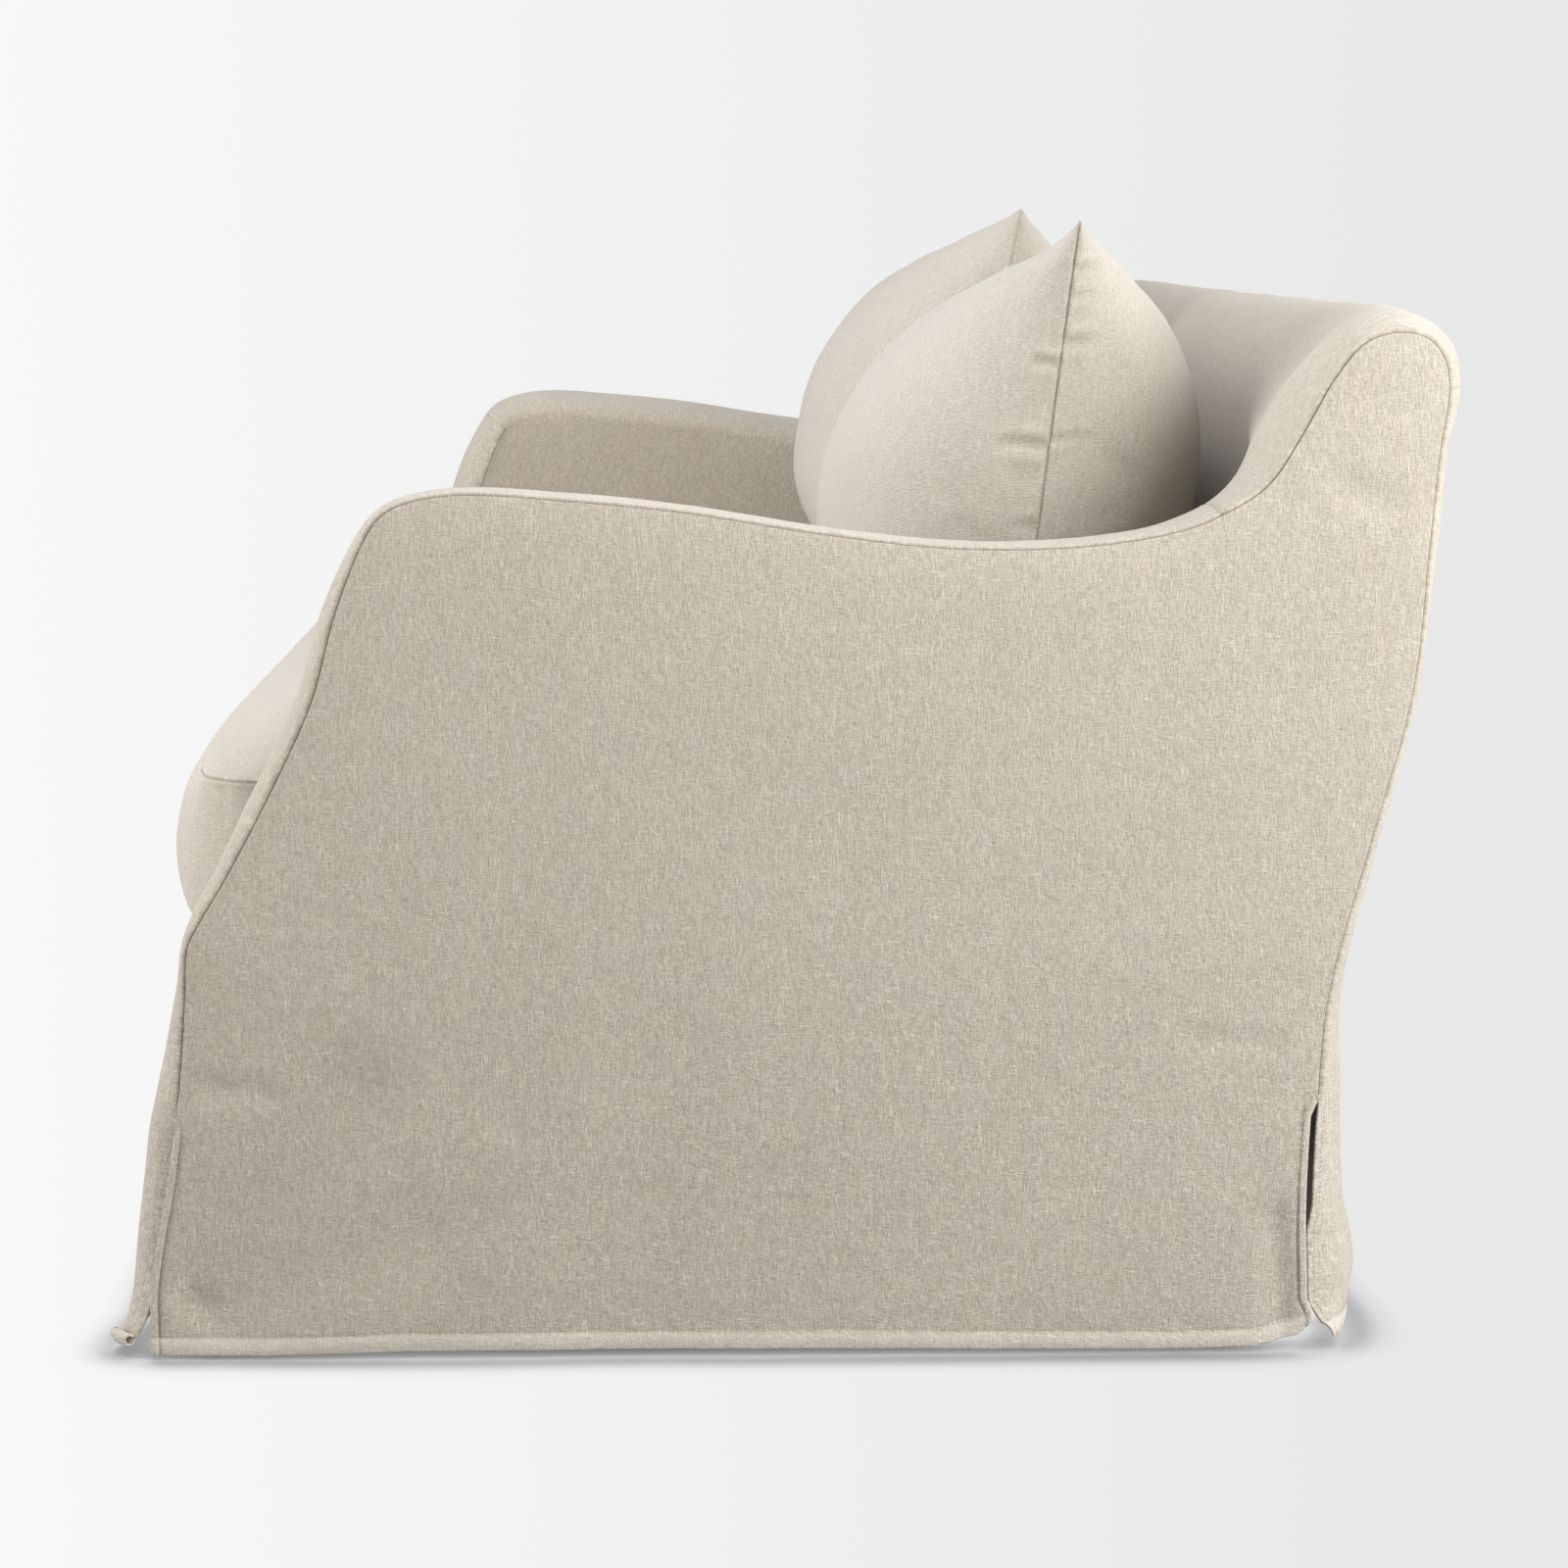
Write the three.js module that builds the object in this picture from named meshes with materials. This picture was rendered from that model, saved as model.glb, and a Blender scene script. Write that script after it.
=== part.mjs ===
// A fitted slipcover for a track-arm sofa, with its covered seat cushion and two back cushions.
// Millimetres. X runs along the sofa, Y from its front to its back, Z up; the origin is on the
// floor under the middle.
import * as THREE from 'three';

const HALF_LENGTH = 915; // from the middle to a side seam
const ARM_WIDTH = 130;
const ARM_INNER = HALF_LENGTH - ARM_WIDTH;
const CLOTH = 3; // cloth with its seam allowances
const EDGE_PULL = 0.24; // each edge of cloth stops this short of the seam line
const COLLISION_GAP = 0.5; // between a cushion and what it presses on

const SIDE_PILLOW = 5; // how far a side panel swells out of its seams
const PILLOW_REACH = 26;
const CREST_REACH = 15; // how fast the cloth rises from the outer seam
const CREST_FALL = 9; // how far the cloth has sunk again at the arm's inner edge
const INNER_ROUND = 36; // where the cloth turns over the arm's inner edge

const DECK_REAR = { y: 318, z: 300 };
const BACK_FOOT = { y: 318, z: 300 };
const BACK_KNEE = { y: 412, z: 650 };
const BACK_HEAD = { y: 452, z: 800 };
const RECESS_REACH = 62; // the inside of the back sinks in over this width
const HEM_RIPPLE = 5;

// The side seam as seen from the side: up the arm's front, along its top, over the back's wing
// and down the rear. crest is how far the next cloth stands out of the seam, and inner is where
// that cloth ends over the arm's inner edge. Named rows are where pieces of cloth begin and end.
const SIDE_SEAM = [
  { y: -505, z: 3, crest: 24, inner: 12, at: 'frontHem' },
  { y: -500, z: 78, crest: 26, inner: 12 },
  { y: -490, z: 141, crest: 28, inner: 12 },
  { y: -485, z: 185, crest: 27, inner: 11, at: 'frontVent' },
  { y: -478, z: 250, crest: 19, inner: 5 },
  { y: -474, z: 300, crest: 12, inner: -6, at: 'deckFront' },
  { y: -471, z: 340, crest: 7, inner: -13 },
  { y: -461, z: 360, crest: 7, inner: -16 },
  { y: -438, z: 398, crest: 9, inner: -19 },
  { y: -396, z: 477, crest: 10, inner: -22 },
  { y: -368, z: 538, crest: 11, inner: -24 },
  { y: -347, z: 611, crest: 10, inner: -25 },
  { y: -319, z: 675, crest: 6, inner: -26, at: 'armFrontTop' },
  { y: -303, z: 690, crest: 4, inner: -26, at: 'frontCorner' },
  { y: -258, z: 701, crest: 3, inner: -26 },
  { y: -157, z: 696, crest: 3, inner: -26 },
  { y: -70, z: 687, crest: 3, inner: -27 },
  { y: 31, z: 671, crest: 3, inner: -28 },
  { y: 134, z: 659, crest: 3, inner: -28 },
  { y: 233, z: 659, crest: 3, inner: -28 },
  { y: 313, z: 670, crest: 4, inner: -27 },
  { y: 352, z: 684, crest: 6, inner: -26, at: 'armBack' },
  { y: 389, z: 708, crest: 8, inner: -24 },
  { y: 416, z: 749, crest: 8, inner: -20 },
  { y: 440, z: 792, crest: 9, inner: -12 },
  { y: 464, z: 820, crest: 10, inner: 0 },
  { y: 490, z: 828, crest: 10, inner: 8 },
  { y: 512, z: 824, crest: 10, inner: 10, at: 'rearCorner' },
  { y: 527, z: 808, crest: 12, inner: 12 },
  { y: 532, z: 783, crest: 11, inner: 12, at: 'backTop' },
  { y: 526, z: 734, crest: 14, inner: 16 },
  { y: 520, z: 662, crest: 15, inner: 16 },
  { y: 509, z: 540, crest: 12, inner: 13 },
  { y: 478, z: 418, crest: 15, inner: 14 },
  { y: 448, z: 298, crest: 19, inner: 18 },
  { y: 441, z: 211, crest: 27, inner: 22, at: 'rearVent' },
  { y: 438, z: 120, crest: 35, inner: 27 },
  { y: 440, z: 60, crest: 43, inner: 30 },
  { y: 442, z: 9, crest: 32, inner: 26, at: 'rearHem' },
];

// How many steps each stretch of the side seam is cut into. The front's steps and the rear's
// come to the same number, because they are the two sides of one grid.
const SEAM_RUNS = [
  { from: 'frontHem', to: 'frontVent', steps: 4 },
  { from: 'frontVent', to: 'deckFront', steps: 2 },
  { from: 'deckFront', to: 'armFrontTop', steps: 8 },
  { from: 'armFrontTop', to: 'frontCorner', steps: 1 },
  { from: 'frontCorner', to: 'armBack', steps: 11 },
  { from: 'armBack', to: 'rearCorner', steps: 7 },
  { from: 'rearCorner', to: 'backTop', steps: 2 },
  { from: 'backTop', to: 'rearVent', steps: 9 },
  { from: 'rearVent', to: 'rearHem', steps: 4 },
];
const WALL_STEPS = 8; // down the arm's inner wall, as on its front edge
const ACROSS_ARM = [0, 0.06, 0.16, 0.36, 0.62, 0.82, 0.93, 0.985, 1];
const ACROSS_SEAT = [785, 770, 748, 710, 610, 420, 150]; // mirrored about the middle

// The hem's height under a side panel.
const SIDE_HEM = [
  { y: -505, z: 3 },
  { y: -410, z: 3 },
  { y: -290, z: 6 },
  { y: 0, z: 6 },
  { y: 330, z: 3 },
  { y: 400, z: 6 },
  { y: 442, z: 13 },
];

// The vents at the corners: the cloth is open below these heights.
const FRONT_VENT = { top: 190, slack: 1.2, flareTop: 74, flare: 30 };
const REAR_VENT = { top: 211, slack: 8, reach: 40 };

// Soft troughs pressed into a side panel, from one end to the other.
const CREASES = {
  right: [
    { from: { y: -476, z: 228 }, to: { y: -414, z: 222 }, half: 11, depth: 3 },
    { from: { y: -362, z: 160 }, to: { y: -484, z: 48 }, half: 24, depth: 5 },
    { from: { y: 408, z: 110 }, to: { y: 416, z: 20 }, half: 13, depth: 5 },
    { from: { y: 452, z: 706 }, to: { y: 486, z: 690 }, half: 12, depth: 3 },
    { from: { y: -120, z: 40 }, to: { y: -90, z: 230 }, half: 60, depth: 3 },
  ],
  left: [
    { from: { y: -470, z: 210 }, to: { y: -400, z: 240 }, half: 12, depth: 3 },
    { from: { y: -380, z: 150 }, to: { y: -470, z: 60 }, half: 26, depth: 4 },
    { from: { y: 404, z: 120 }, to: { y: 410, z: 30 }, half: 14, depth: 4 },
    { from: { y: 100, z: 30 }, to: { y: 60, z: 240 }, half: 60, depth: 3 },
  ],
};

const SEAT = {
  end: 779, // half its length at the seams
  frontSeam: -470, // at its ends
  bow: 29, // how far its front edge stands further out in the middle
  rearSeam: 306,
  topSeam: 452,
  bottomSeam: 308,
  rest: DECK_REAR.z + COLLISION_GAP,
  crown: 46,
  boxing: 22, // how far the front stands out between its seams
  corner: 34, // the front's rounding at each end
};

// The two back cushions. outer and inner are the ends away from and at the sofa's middle.
const PILLOWS = {
  right: {
    outer: { y: 253, z: 914 },
    inner: { y: 258, z: 903 },
    dip: 20, // of the top edge between its corners
    front: { depth: 166, taper: 0.8 },
    rear: { depth: 158, taper: 0.6 },
  },
  left: {
    outer: { y: 262, z: 888 },
    inner: { y: 278, z: 929 },
    dip: 8,
    front: { depth: 168, taper: 0.66 },
    rear: { depth: 156, taper: 0.66 },
  },
};
const PILLOW_FOOT = { y: 203, z: 494 };
const PILLOW_ENDS = { inner: 14, outer: 772 }; // from the sofa's middle to its end seams
const PILLOW_WAIST = 14; // how far the ends are drawn in
const PILLOW_STEPS = { across: 16, up: 12 };

const CLOTH_COLOUR = 0xb8ac9a;
const CUSHION_COLOUR = 0xcdc4b6;

const { abs, cos, exp, hypot, max, min, PI, sin, sqrt } = Math;
const vec = (x, y, z) => new THREE.Vector3(x, y, z);
const mix = (a, b, t) => a + (b - a) * t;
const clamp01 = (t) => min(1, max(0, t));
const smooth = (t) => clamp01(t) ** 2 * (3 - 2 * clamp01(t));
const mirrored = (list) => [...list, ...list.toReversed().map((x) => -x)];

// ---------------------------------------------------------------- the side seam, as samples

function tableAt(rows, key, value, column) {
  const next = rows.findIndex((row) => row[key] >= value);
  if (next < 1) return (next === 0 ? rows[0] : rows.at(-1))[column];
  const [low, high] = [rows[next - 1], rows[next]];
  return mix(low[column], high[column], (value - low[key]) / (high[key] - low[key]));
}

function sampleSeam() {
  const curve = new THREE.CatmullRomCurve3(SIDE_SEAM.map((row) => vec(0, row.y, row.z)));
  const last = SIDE_SEAM.length - 1;
  const rowOf = (name) => SIDE_SEAM.findIndex((row) => row.at === name);
  const samples = [];
  const mark = {};
  const sampleAt = (place) => {
    const low = min(Math.floor(place), last - 1);
    const point = curve.getPoint(place / last);
    const column = (name) => mix(SIDE_SEAM[low][name], SIDE_SEAM[low + 1][name], place - low);
    return { y: point.y, z: point.z, crest: column('crest'), inner: column('inner') };
  };
  for (const { from, to, steps } of SEAM_RUNS) {
    mark[from] = samples.length;
    const fine = evenPlaces(sampleAt, rowOf(from), rowOf(to), steps);
    samples.push(...fine.slice(0, -1).map(sampleAt));
    mark[to] = samples.length;
  }
  samples.push(sampleAt(last));
  samples.forEach((sample, i) => {
    const before = samples[max(0, i - 1)];
    const after = samples[min(samples.length - 1, i + 1)];
    const length = hypot(after.y - before.y, after.z - before.z);
    sample.out = vec(0, -(after.z - before.z) / length, (after.y - before.y) / length);
  });
  return { samples, mark };
}

// Places along a stretch that lie evenly spaced by length.
function evenPlaces(sampleAt, start, end, steps) {
  const FINE = 200;
  const places = Array.from({ length: FINE + 1 }, (_, i) => mix(start, end, i / FINE));
  const lengths = [0];
  places.slice(1).forEach((place, i) => {
    const [a, b] = [sampleAt(places[i]), sampleAt(place)];
    lengths.push(lengths[i] + hypot(b.y - a.y, b.z - a.z));
  });
  return Array.from({ length: steps + 1 }, (_, step) => {
    const wanted = (lengths.at(-1) * step) / steps;
    const next = max(1, lengths.findIndex((length) => length >= wanted - 1e-9));
    const part = (wanted - lengths[next - 1]) / (lengths[next] - lengths[next - 1]);
    return mix(places[next - 1], places[next], part);
  });
}

const SEAM = sampleSeam();
const run = (from, to) => SEAM.samples.slice(SEAM.mark[from], SEAM.mark[to] + 1);
function seamPoint(sample, x, offset = 0) {
  return vec(x, sample.y, sample.z).addScaledVector(sample.out, offset);
}

// ---------------------------------------------------------------- cloth as a closed thin solid

// A sheet is a table of points on the cloth's outer face. A table may have empty places.
// toward is a direction that its middle cell faces.
function makeSheet(name, table, toward) {
  const points = [];
  const index = table.map((row) => row.map((point) => (point ? points.push(point) - 1 : -1)));
  const cells = [];
  for (let i = 0; i + 1 < index.length; i += 1) {
    for (let j = 0; j + 1 < index[i].length; j += 1) {
      const cell = [index[i][j], index[i + 1][j], index[i + 1][j + 1], index[i][j + 1]];
      if (!cell.includes(-1)) cells.push(cell);
    }
  }
  const middle = cells[Math.floor(cells.length / 2)];
  const flipped = cellNormal(points, middle).dot(toward) < 0;
  if (flipped) cells.forEach((cell) => cell.push(...cell.splice(1).reverse()));
  const normals = points.map(() => vec(0, 0, 0));
  for (const cell of cells) {
    const normal = cellNormal(points, cell);
    cell.forEach((corner) => normals[corner].add(normal));
  }
  normals.forEach((normal) => normal.normalize());
  return { name, points, cells, normals, edges: openEdges(cells) };
}

function cellNormal(points, cell) {
  const [a, b, c, d] = cell.map((corner) => points[corner]);
  return c.clone().sub(a).cross(d.clone().sub(b)).multiplyScalar(0.5);
}

function openEdges(cells) {
  const open = new Map();
  for (const cell of cells) {
    cell.forEach((from, i) => {
      const to = cell[(i + 1) % cell.length];
      if (!open.delete(`${to}>${from}`)) open.set(`${from}>${to}`, { from, to, cell });
    });
  }
  return [...open.values()];
}

// Where sheets meet, their inner faces meet too: the shift inward that lies one cloth's
// thickness behind every face that meets at the point.
function innerShift(faces) {
  const shift = vec(0, 0, 0);
  for (let pass = 0; pass < 40; pass += 1) {
    for (const face of faces) shift.addScaledVector(face, -CLOTH - shift.dot(face));
  }
  return shift.clampLength(0, 2 * CLOTH);
}

const placeKey = (point) => point.toArray().map((value) => value.toFixed(3)).join();
const seamKey = (point) => point.seamKey ?? placeKey(point);

function collectFaces(sheets) {
  const faces = new Map();
  for (const { points, normals, edges } of sheets) {
    for (const { from } of edges) {
      const key = seamKey(points[from]);
      faces.set(key, [...(faces.get(key) ?? []), normals[from]]);
    }
  }
  return faces;
}

// How far each edge point moves into its own sheet, so that neighbours stay a seam's gap apart.
function edgePulls(sheet) {
  const inward = new Map();
  for (const { from, to, cell } of sheet.edges) {
    const along = sheet.points[to].clone().sub(sheet.points[from]);
    const side = cellNormal(sheet.points, cell).cross(along).normalize();
    for (const corner of [from, to]) inward.set(corner, [...(inward.get(corner) ?? []), side]);
  }
  const pulls = new Map();
  for (const [corner, [first, second]] of inward) {
    const pull = first.clone().add(second).multiplyScalar(EDGE_PULL / (1 + first.dot(second)));
    pulls.set(corner, pull.clampLength(0, 2 * EDGE_PULL));
  }
  return pulls;
}

function solidFromSheet(sheet, faces) {
  const pulls = edgePulls(sheet);
  const count = sheet.points.length;
  const outer = sheet.points.map((point, i) => point.clone().add(pulls.get(i) ?? vec(0, 0, 0)));
  const inner = outer.map((point, i) => {
    const meeting = pulls.has(i) ? faces.get(seamKey(sheet.points[i])) : [sheet.normals[i]];
    return point.clone().add(innerShift(meeting));
  });
  const triangles = [];
  for (const [a, b, c, d] of sheet.cells) {
    triangles.push(a, b, c, a, c, d);
    triangles.push(count + a, count + c, count + b, count + a, count + d, count + c);
  }
  // Two sheets cut the narrow face along their shared seam by the same diagonal.
  for (const { from, to } of sheet.edges) {
    const fromFirst = seamKey(sheet.points[from]) < seamKey(sheet.points[to]);
    const [outerEnd, innerEnd] = fromFirst ? [from, count + to] : [to, count + from];
    triangles.push(outerEnd, innerEnd, to === outerEnd ? count + to : to);
    triangles.push(innerEnd, outerEnd, from === outerEnd ? count + from : from);
  }
  return geometryOf([...outer, ...inner], triangles);
}

function geometryOf(points, triangles) {
  const geometry = new THREE.BufferGeometry();
  const values = points.flatMap((point) => point.toArray());
  geometry.setAttribute('position', new THREE.Float32BufferAttribute(values, 3));
  geometry.setIndex(triangles);
  geometry.computeVertexNormals();
  return geometry;
}

// ---------------------------------------------------------------- the body cover's pieces

// The cloth's rise across an arm: up from the outer seam to its crest, then round the inner edge.
function armOffset(w, { crest, inner }) {
  const turn = clamp01((w - 1) * (ARM_WIDTH / INNER_ROUND) + 1);
  const risen = crest * (1 - exp((-w * ARM_WIDTH) / CREST_REACH)) - CREST_FALL * w ** 2;
  return mix(inner, risen, sqrt(1 - turn ** 2));
}

const armX = (s, w) => s * (HALF_LENGTH - ARM_WIDTH * w);
const acrossArm = (sample, s, w) => seamPoint(sample, armX(s, w), armOffset(w, sample));

function distanceTo({ from, to }, y, z) {
  const [dy, dz] = [to.y - from.y, to.z - from.z];
  const t = clamp01(((y - from.y) * dy + (z - from.z) * dz) / (dy * dy + dz * dz || 1));
  return hypot(y - from.y - t * dy, z - from.z - t * dz);
}

function seamDistance(y, z) {
  const seam = SEAM.samples;
  const spans = seam.slice(1).map((to, i) => distanceTo({ from: seam[i], to }, y, z));
  return min(...spans);
}

function sideSwell(y, z, creases) {
  const near = seamDistance(y, z);
  const pillow = SIDE_PILLOW * (1 - exp(-near / PILLOW_REACH));
  const trough = (crease) => crease.depth * exp(-((distanceTo(crease, y, z) / crease.half) ** 2));
  const fade = clamp01(near / PILLOW_REACH);
  return pillow - fade * creases.reduce((sum, crease) => sum + trough(crease), 0);
}

function coons(low, high, start, end) {
  const [m, n] = [low.length - 1, start.length - 1];
  return start.map((_, j) => low.map((__, i) => {
    const [u, v] = [i / m, j / n];
    const value = (key) => mix(low[i][key], high[i][key], v) + mix(start[j][key], end[j][key], u)
      - mix(mix(low[0][key], low[m][key], u), mix(high[0][key], high[m][key], u), v);
    return { y: value('y'), z: value('z') };
  }));
}

// A side panel's own edges lie a little inside the seam line where the vents are open.
const frontEdge = (sample) => {
  const open = sample.z < FRONT_VENT.top ? FRONT_VENT.slack : 0;
  return { y: sample.y + open, z: sample.z, sample };
};
const rearEdge = (sample) => {
  const open = REAR_VENT.slack * smooth((REAR_VENT.top - sample.z) / REAR_VENT.reach);
  return { y: sample.y - open, z: sample.z, sample };
};

// A point on the edge of a vent, still mitred against the edge it hangs beside.
function beside(point, sample, x) {
  point.seamKey = placeKey(seamPoint(sample, x));
  return point;
}

function outsideArm(s, creases) {
  const front = run('frontHem', 'frontCorner').map(frontEdge);
  const rear = run('rearCorner', 'rearHem').toReversed().map(rearEdge);
  const top = run('frontCorner', 'rearCorner').map((sample) => ({ ...sample, sample }));
  const hem = top.map((_, i) => {
    const y = mix(front[0].y, rear[0].y, i / (top.length - 1));
    return { y, z: tableAt(SIDE_HEM, 'y', y, 'z') };
  });
  hem[0] = front[0];
  hem[hem.length - 1] = rear[0];
  const seamX = s * HALF_LENGTH;
  return coons(hem, top, front, rear).map((row, j) => row.map(({ y, z }, i) => {
    const ends = { 0: front[j], [top.length - 1]: rear[j] };
    const seam = j === front.length - 1 ? top[i] : ends[i];
    if (seam) return beside(vec(seamX, y, z), seam.sample, seamX);
    return vec(seamX + s * sideSwell(y, z, creases), y, z);
  }));
}

function armFront(s) {
  return run('frontHem', 'armFrontTop').map((sample) => ACROSS_ARM.map((w) => {
    const low = clamp01((FRONT_VENT.flareTop - sample.z) / FRONT_VENT.flareTop);
    const flare = FRONT_VENT.flare * low ** 2 * (1 - w) ** 2;
    const point = seamPoint(sample, armX(s, w), armOffset(w, sample) + flare);
    return w === 0 ? beside(point, sample, armX(s, 0)) : point;
  }));
}

function armWallFront() {
  return run('deckFront', 'armFrontTop').toReversed().map((sample) => seamPoint(sample, 0, sample.inner));
}

function armWallRear() {
  const [corner] = run('armBack', 'armBack');
  const top = seamPoint(corner, 0, corner.inner);
  const foot = vec(0, DECK_REAR.y, DECK_REAR.z);
  return Array.from({ length: WALL_STEPS + 1 }, (_, j) => top.clone().lerp(foot, j / WALL_STEPS));
}

function deckLine() {
  const steps = SEAM.mark.armBack - SEAM.mark.armFrontTop;
  const [front, rear] = [armWallFront().at(-1), armWallRear().at(-1)];
  return Array.from({ length: steps + 1 }, (_, i) => front.clone().lerp(rear, i / steps));
}

function insideArm(s) {
  const top = run('armFrontTop', 'armBack');
  const over = ACROSS_ARM.map((w) => top.map((sample) => acrossArm(sample, s, w)));
  const edge = top.map((sample) => seamPoint(sample, 0, sample.inner));
  const wall = coons(edge, deckLine(), armWallFront(), armWallRear());
  const down = wall.slice(1).map((row) => row.map(({ y, z }) => vec(s * ARM_INNER, y, z)));
  return [...over, ...down];
}

const seatColumns = () => mirrored(ACROSS_SEAT);
const seatEdgeRise = (x, reach) => 1 - exp(-(ARM_INNER - abs(x)) / reach);

function frontApron() {
  const rows = run('frontHem', 'deckFront');
  return rows.map((sample, j) => seatColumns().map((x) => {
    const ripple = HEM_RIPPLE * sin(x / 130) * clamp01(1 - sample.z / 260);
    const stand = j === rows.length - 1 ? sample.inner : 0.85 * sample.crest + ripple;
    return seamPoint(sample, x, mix(sample.inner, stand, seatEdgeRise(x, 30)));
  }));
}

const deck = () => deckLine().map(({ y, z }) => seatColumns().map((x) => vec(x, y, z)));

// The inside of the back: its rows climb from the deck to the arm's height, where the wings
// join in, and go on over the top.
function insideBack() {
  const wings = run('armBack', 'backTop');
  const wallRear = armWallRear().toReversed();
  const lower = wallRear.slice(0, -1).map((edge, j) => {
    const inside = lerpPlace(BACK_FOOT, BACK_KNEE, j / WALL_STEPS);
    return backRow(edge, inside, () => null);
  });
  const upper = wings.map((sample, j) => {
    const edge = seamPoint(sample, 0, sample.inner);
    const headRow = 4;
    const onSlope = lerpPlace(BACK_KNEE, BACK_HEAD, j / headRow);
    const inside = j <= headRow ? onSlope : seamPoint(sample, 0, sample.crest);
    return backRow(edge, inside, (x) => {
      const w = (HALF_LENGTH - abs(x)) / ARM_WIDTH;
      return acrossArm(sample, Math.sign(x), w);
    });
  });
  return [...lower, ...upper];
}

const lerpPlace = (a, b, t) => ({ y: mix(a.y, b.y, t), z: mix(a.z, b.z, t) });

function backRow(edge, inside, wingPoint) {
  return backColumns().map((x) => {
    if (abs(x) > ARM_INNER) return wingPoint(x);
    const sunk = smooth((ARM_INNER - abs(x)) / RECESS_REACH);
    return vec(x, mix(edge.y, inside.y, sunk), mix(edge.z, inside.z, sunk));
  });
}

function backColumns() {
  const wing = ACROSS_ARM.slice(0, -1).map((w) => armX(1, w));
  return mirrored([...wing, ...ACROSS_SEAT]);
}

function outsideBack(topRow) {
  const rows = run('backTop', 'rearHem').slice(1);
  return [topRow, ...rows.map((sample) => backColumns().map((x) => {
    const fromEdge = HALF_LENGTH - abs(x);
    const settled = mix(sample.crest, sample.inner, smooth((fromEdge - 60) / 200));
    const ripple = HEM_RIPPLE * cos(x / 150) * clamp01(1 - sample.z / 300) * clamp01(fromEdge / 100);
    return seamPoint(sample, x, (settled + ripple) * (1 - exp(-fromEdge / 20)));
  }))];
}

// ---------------------------------------------------------------- the filled cushions

const SEAT_HALF_DEPTH = (SEAT.rearSeam - SEAT.frontSeam) / 2;
const SEAT_MIDDLE = (SEAT.rearSeam + SEAT.frontSeam) / 2;
const domed = (t) => sqrt(1 - t ** 6);
const seatTop = (p, q) => SEAT.topSeam + SEAT.crown * domed(p) * domed(q);

// A boxed cushion from a box of half-size 1: its seams are the box's edges and its faces swell.
function seatCushion() {
  const box = new THREE.BoxGeometry(2, 2, 2, 18, 12, 4);
  const { points, triangles } = mergedBox(box);
  const moved = points.map((point) => {
    const [p, q] = [point.x, point.y].map((t) => sin((t * PI) / 2));
    const level = (point.z + 1) / 2;
    const cornerPart = clamp01((abs(p) * SEAT.end - SEAT.end + SEAT.corner) / SEAT.corner);
    const belly = (1 - point.z ** 4) * sqrt(1 - cornerPart ** 2);
    const front = q < 0 ? SEAT.bow * q ** 4 * (1 - p ** 6) : 0;
    const y = SEAT_MIDDLE + q * SEAT_HALF_DEPTH - front - (q === -1 ? SEAT.boxing * belly : 0);
    const sag = (SEAT.bottomSeam - SEAT.rest) * domed(p) * domed(q);
    if (point.z === 1) return vec(p * SEAT.end, y, seatTop(p, q));
    const z = point.z === -1 ? SEAT.bottomSeam - sag : mix(SEAT.bottomSeam, SEAT.topSeam, level);
    return vec(p * SEAT.end, y, z);
  });
  return geometryOf(moved, triangles);
}

function mergedBox(box) {
  const position = box.getAttribute('position');
  const points = [];
  const places = new Map();
  const index = Array.from({ length: position.count }, (_, i) => {
    const point = new THREE.Vector3().fromBufferAttribute(position, i);
    const key = placeKey(point);
    if (!places.has(key)) places.set(key, points.push(point) - 1);
    return places.get(key);
  });
  return { points, triangles: [...box.index.array].map((corner) => index[corner]) };
}

// A knife-edge cushion: two faces that share one seam all round, pressed on the seat.
function backCushion(s, pillow) {
  const { across, up } = PILLOW_STEPS;
  const points = [];
  const place = (step, steps) => sin(PI * (step / steps - 0.5));
  const face = (facing, join) => Array.from({ length: up + 1 }, (_, j) => (
    Array.from({ length: across + 1 }, (__, i) => {
      const onSeam = i === 0 || j === 0 || i === across || j === up;
      if (join && onSeam) return join[j][i];
      return points.push(pillowPoint(s, pillow, place(i, across), place(j, up), facing)) - 1;
    })
  ));
  const front = face(1);
  const rear = face(-1, front);
  const rearTriangles = faceTriangles(rear, across, up).reverse();
  const triangles = [...faceTriangles(front, across, up), ...rearTriangles];
  return geometryOf(points, s > 0 ? triangles : triangles.reverse());
}

// Each cell is cut along the diagonal that points at the face's nearest corner.
function faceTriangles(index, across, up) {
  const triangles = [];
  for (let j = 0; j < up; j += 1) {
    for (let i = 0; i < across; i += 1) {
      const cell = [index[j][i], index[j][i + 1], index[j + 1][i + 1], index[j + 1][i]];
      const towardCorner = (i < across / 2) === (j < up / 2);
      const [a, b, c, d] = towardCorner ? cell : [cell[1], cell[2], cell[3], cell[0]];
      triangles.push(a, b, c, a, c, d);
    }
  }
  return triangles;
}

function pillowPoint(s, pillow, p, q, facing) {
  const { inner, outer } = PILLOW_ENDS;
  const half = (outer - inner) / 2 - PILLOW_WAIST * (1 - q ** 2);
  const level = (q + 1) / 2;
  const top = lerpPlace(pillow.inner, pillow.outer, (p + 1) / 2);
  const topZ = top.z - pillow.dip * (1 - p ** 4);
  const { depth: full, taper } = facing > 0 ? pillow.front : pillow.rear;
  const plump = q > 0 ? (1 - q ** 2) ** taper : (1 - abs(q) ** 3.2) ** 0.6;
  const depth = full * plump * sqrt(1 - abs(p) ** 3);
  const y = mix(PILLOW_FOOT.y, top.y, level) - facing * depth;
  return vec(s * ((inner + outer) / 2 + p * half), y, mix(PILLOW_FOOT.z, topZ, level));
}

// ---------------------------------------------------------------- the whole set

const clothOf = (color) => new THREE.MeshStandardMaterial({ color, roughness: 0.95, metalness: 0 });

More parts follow.
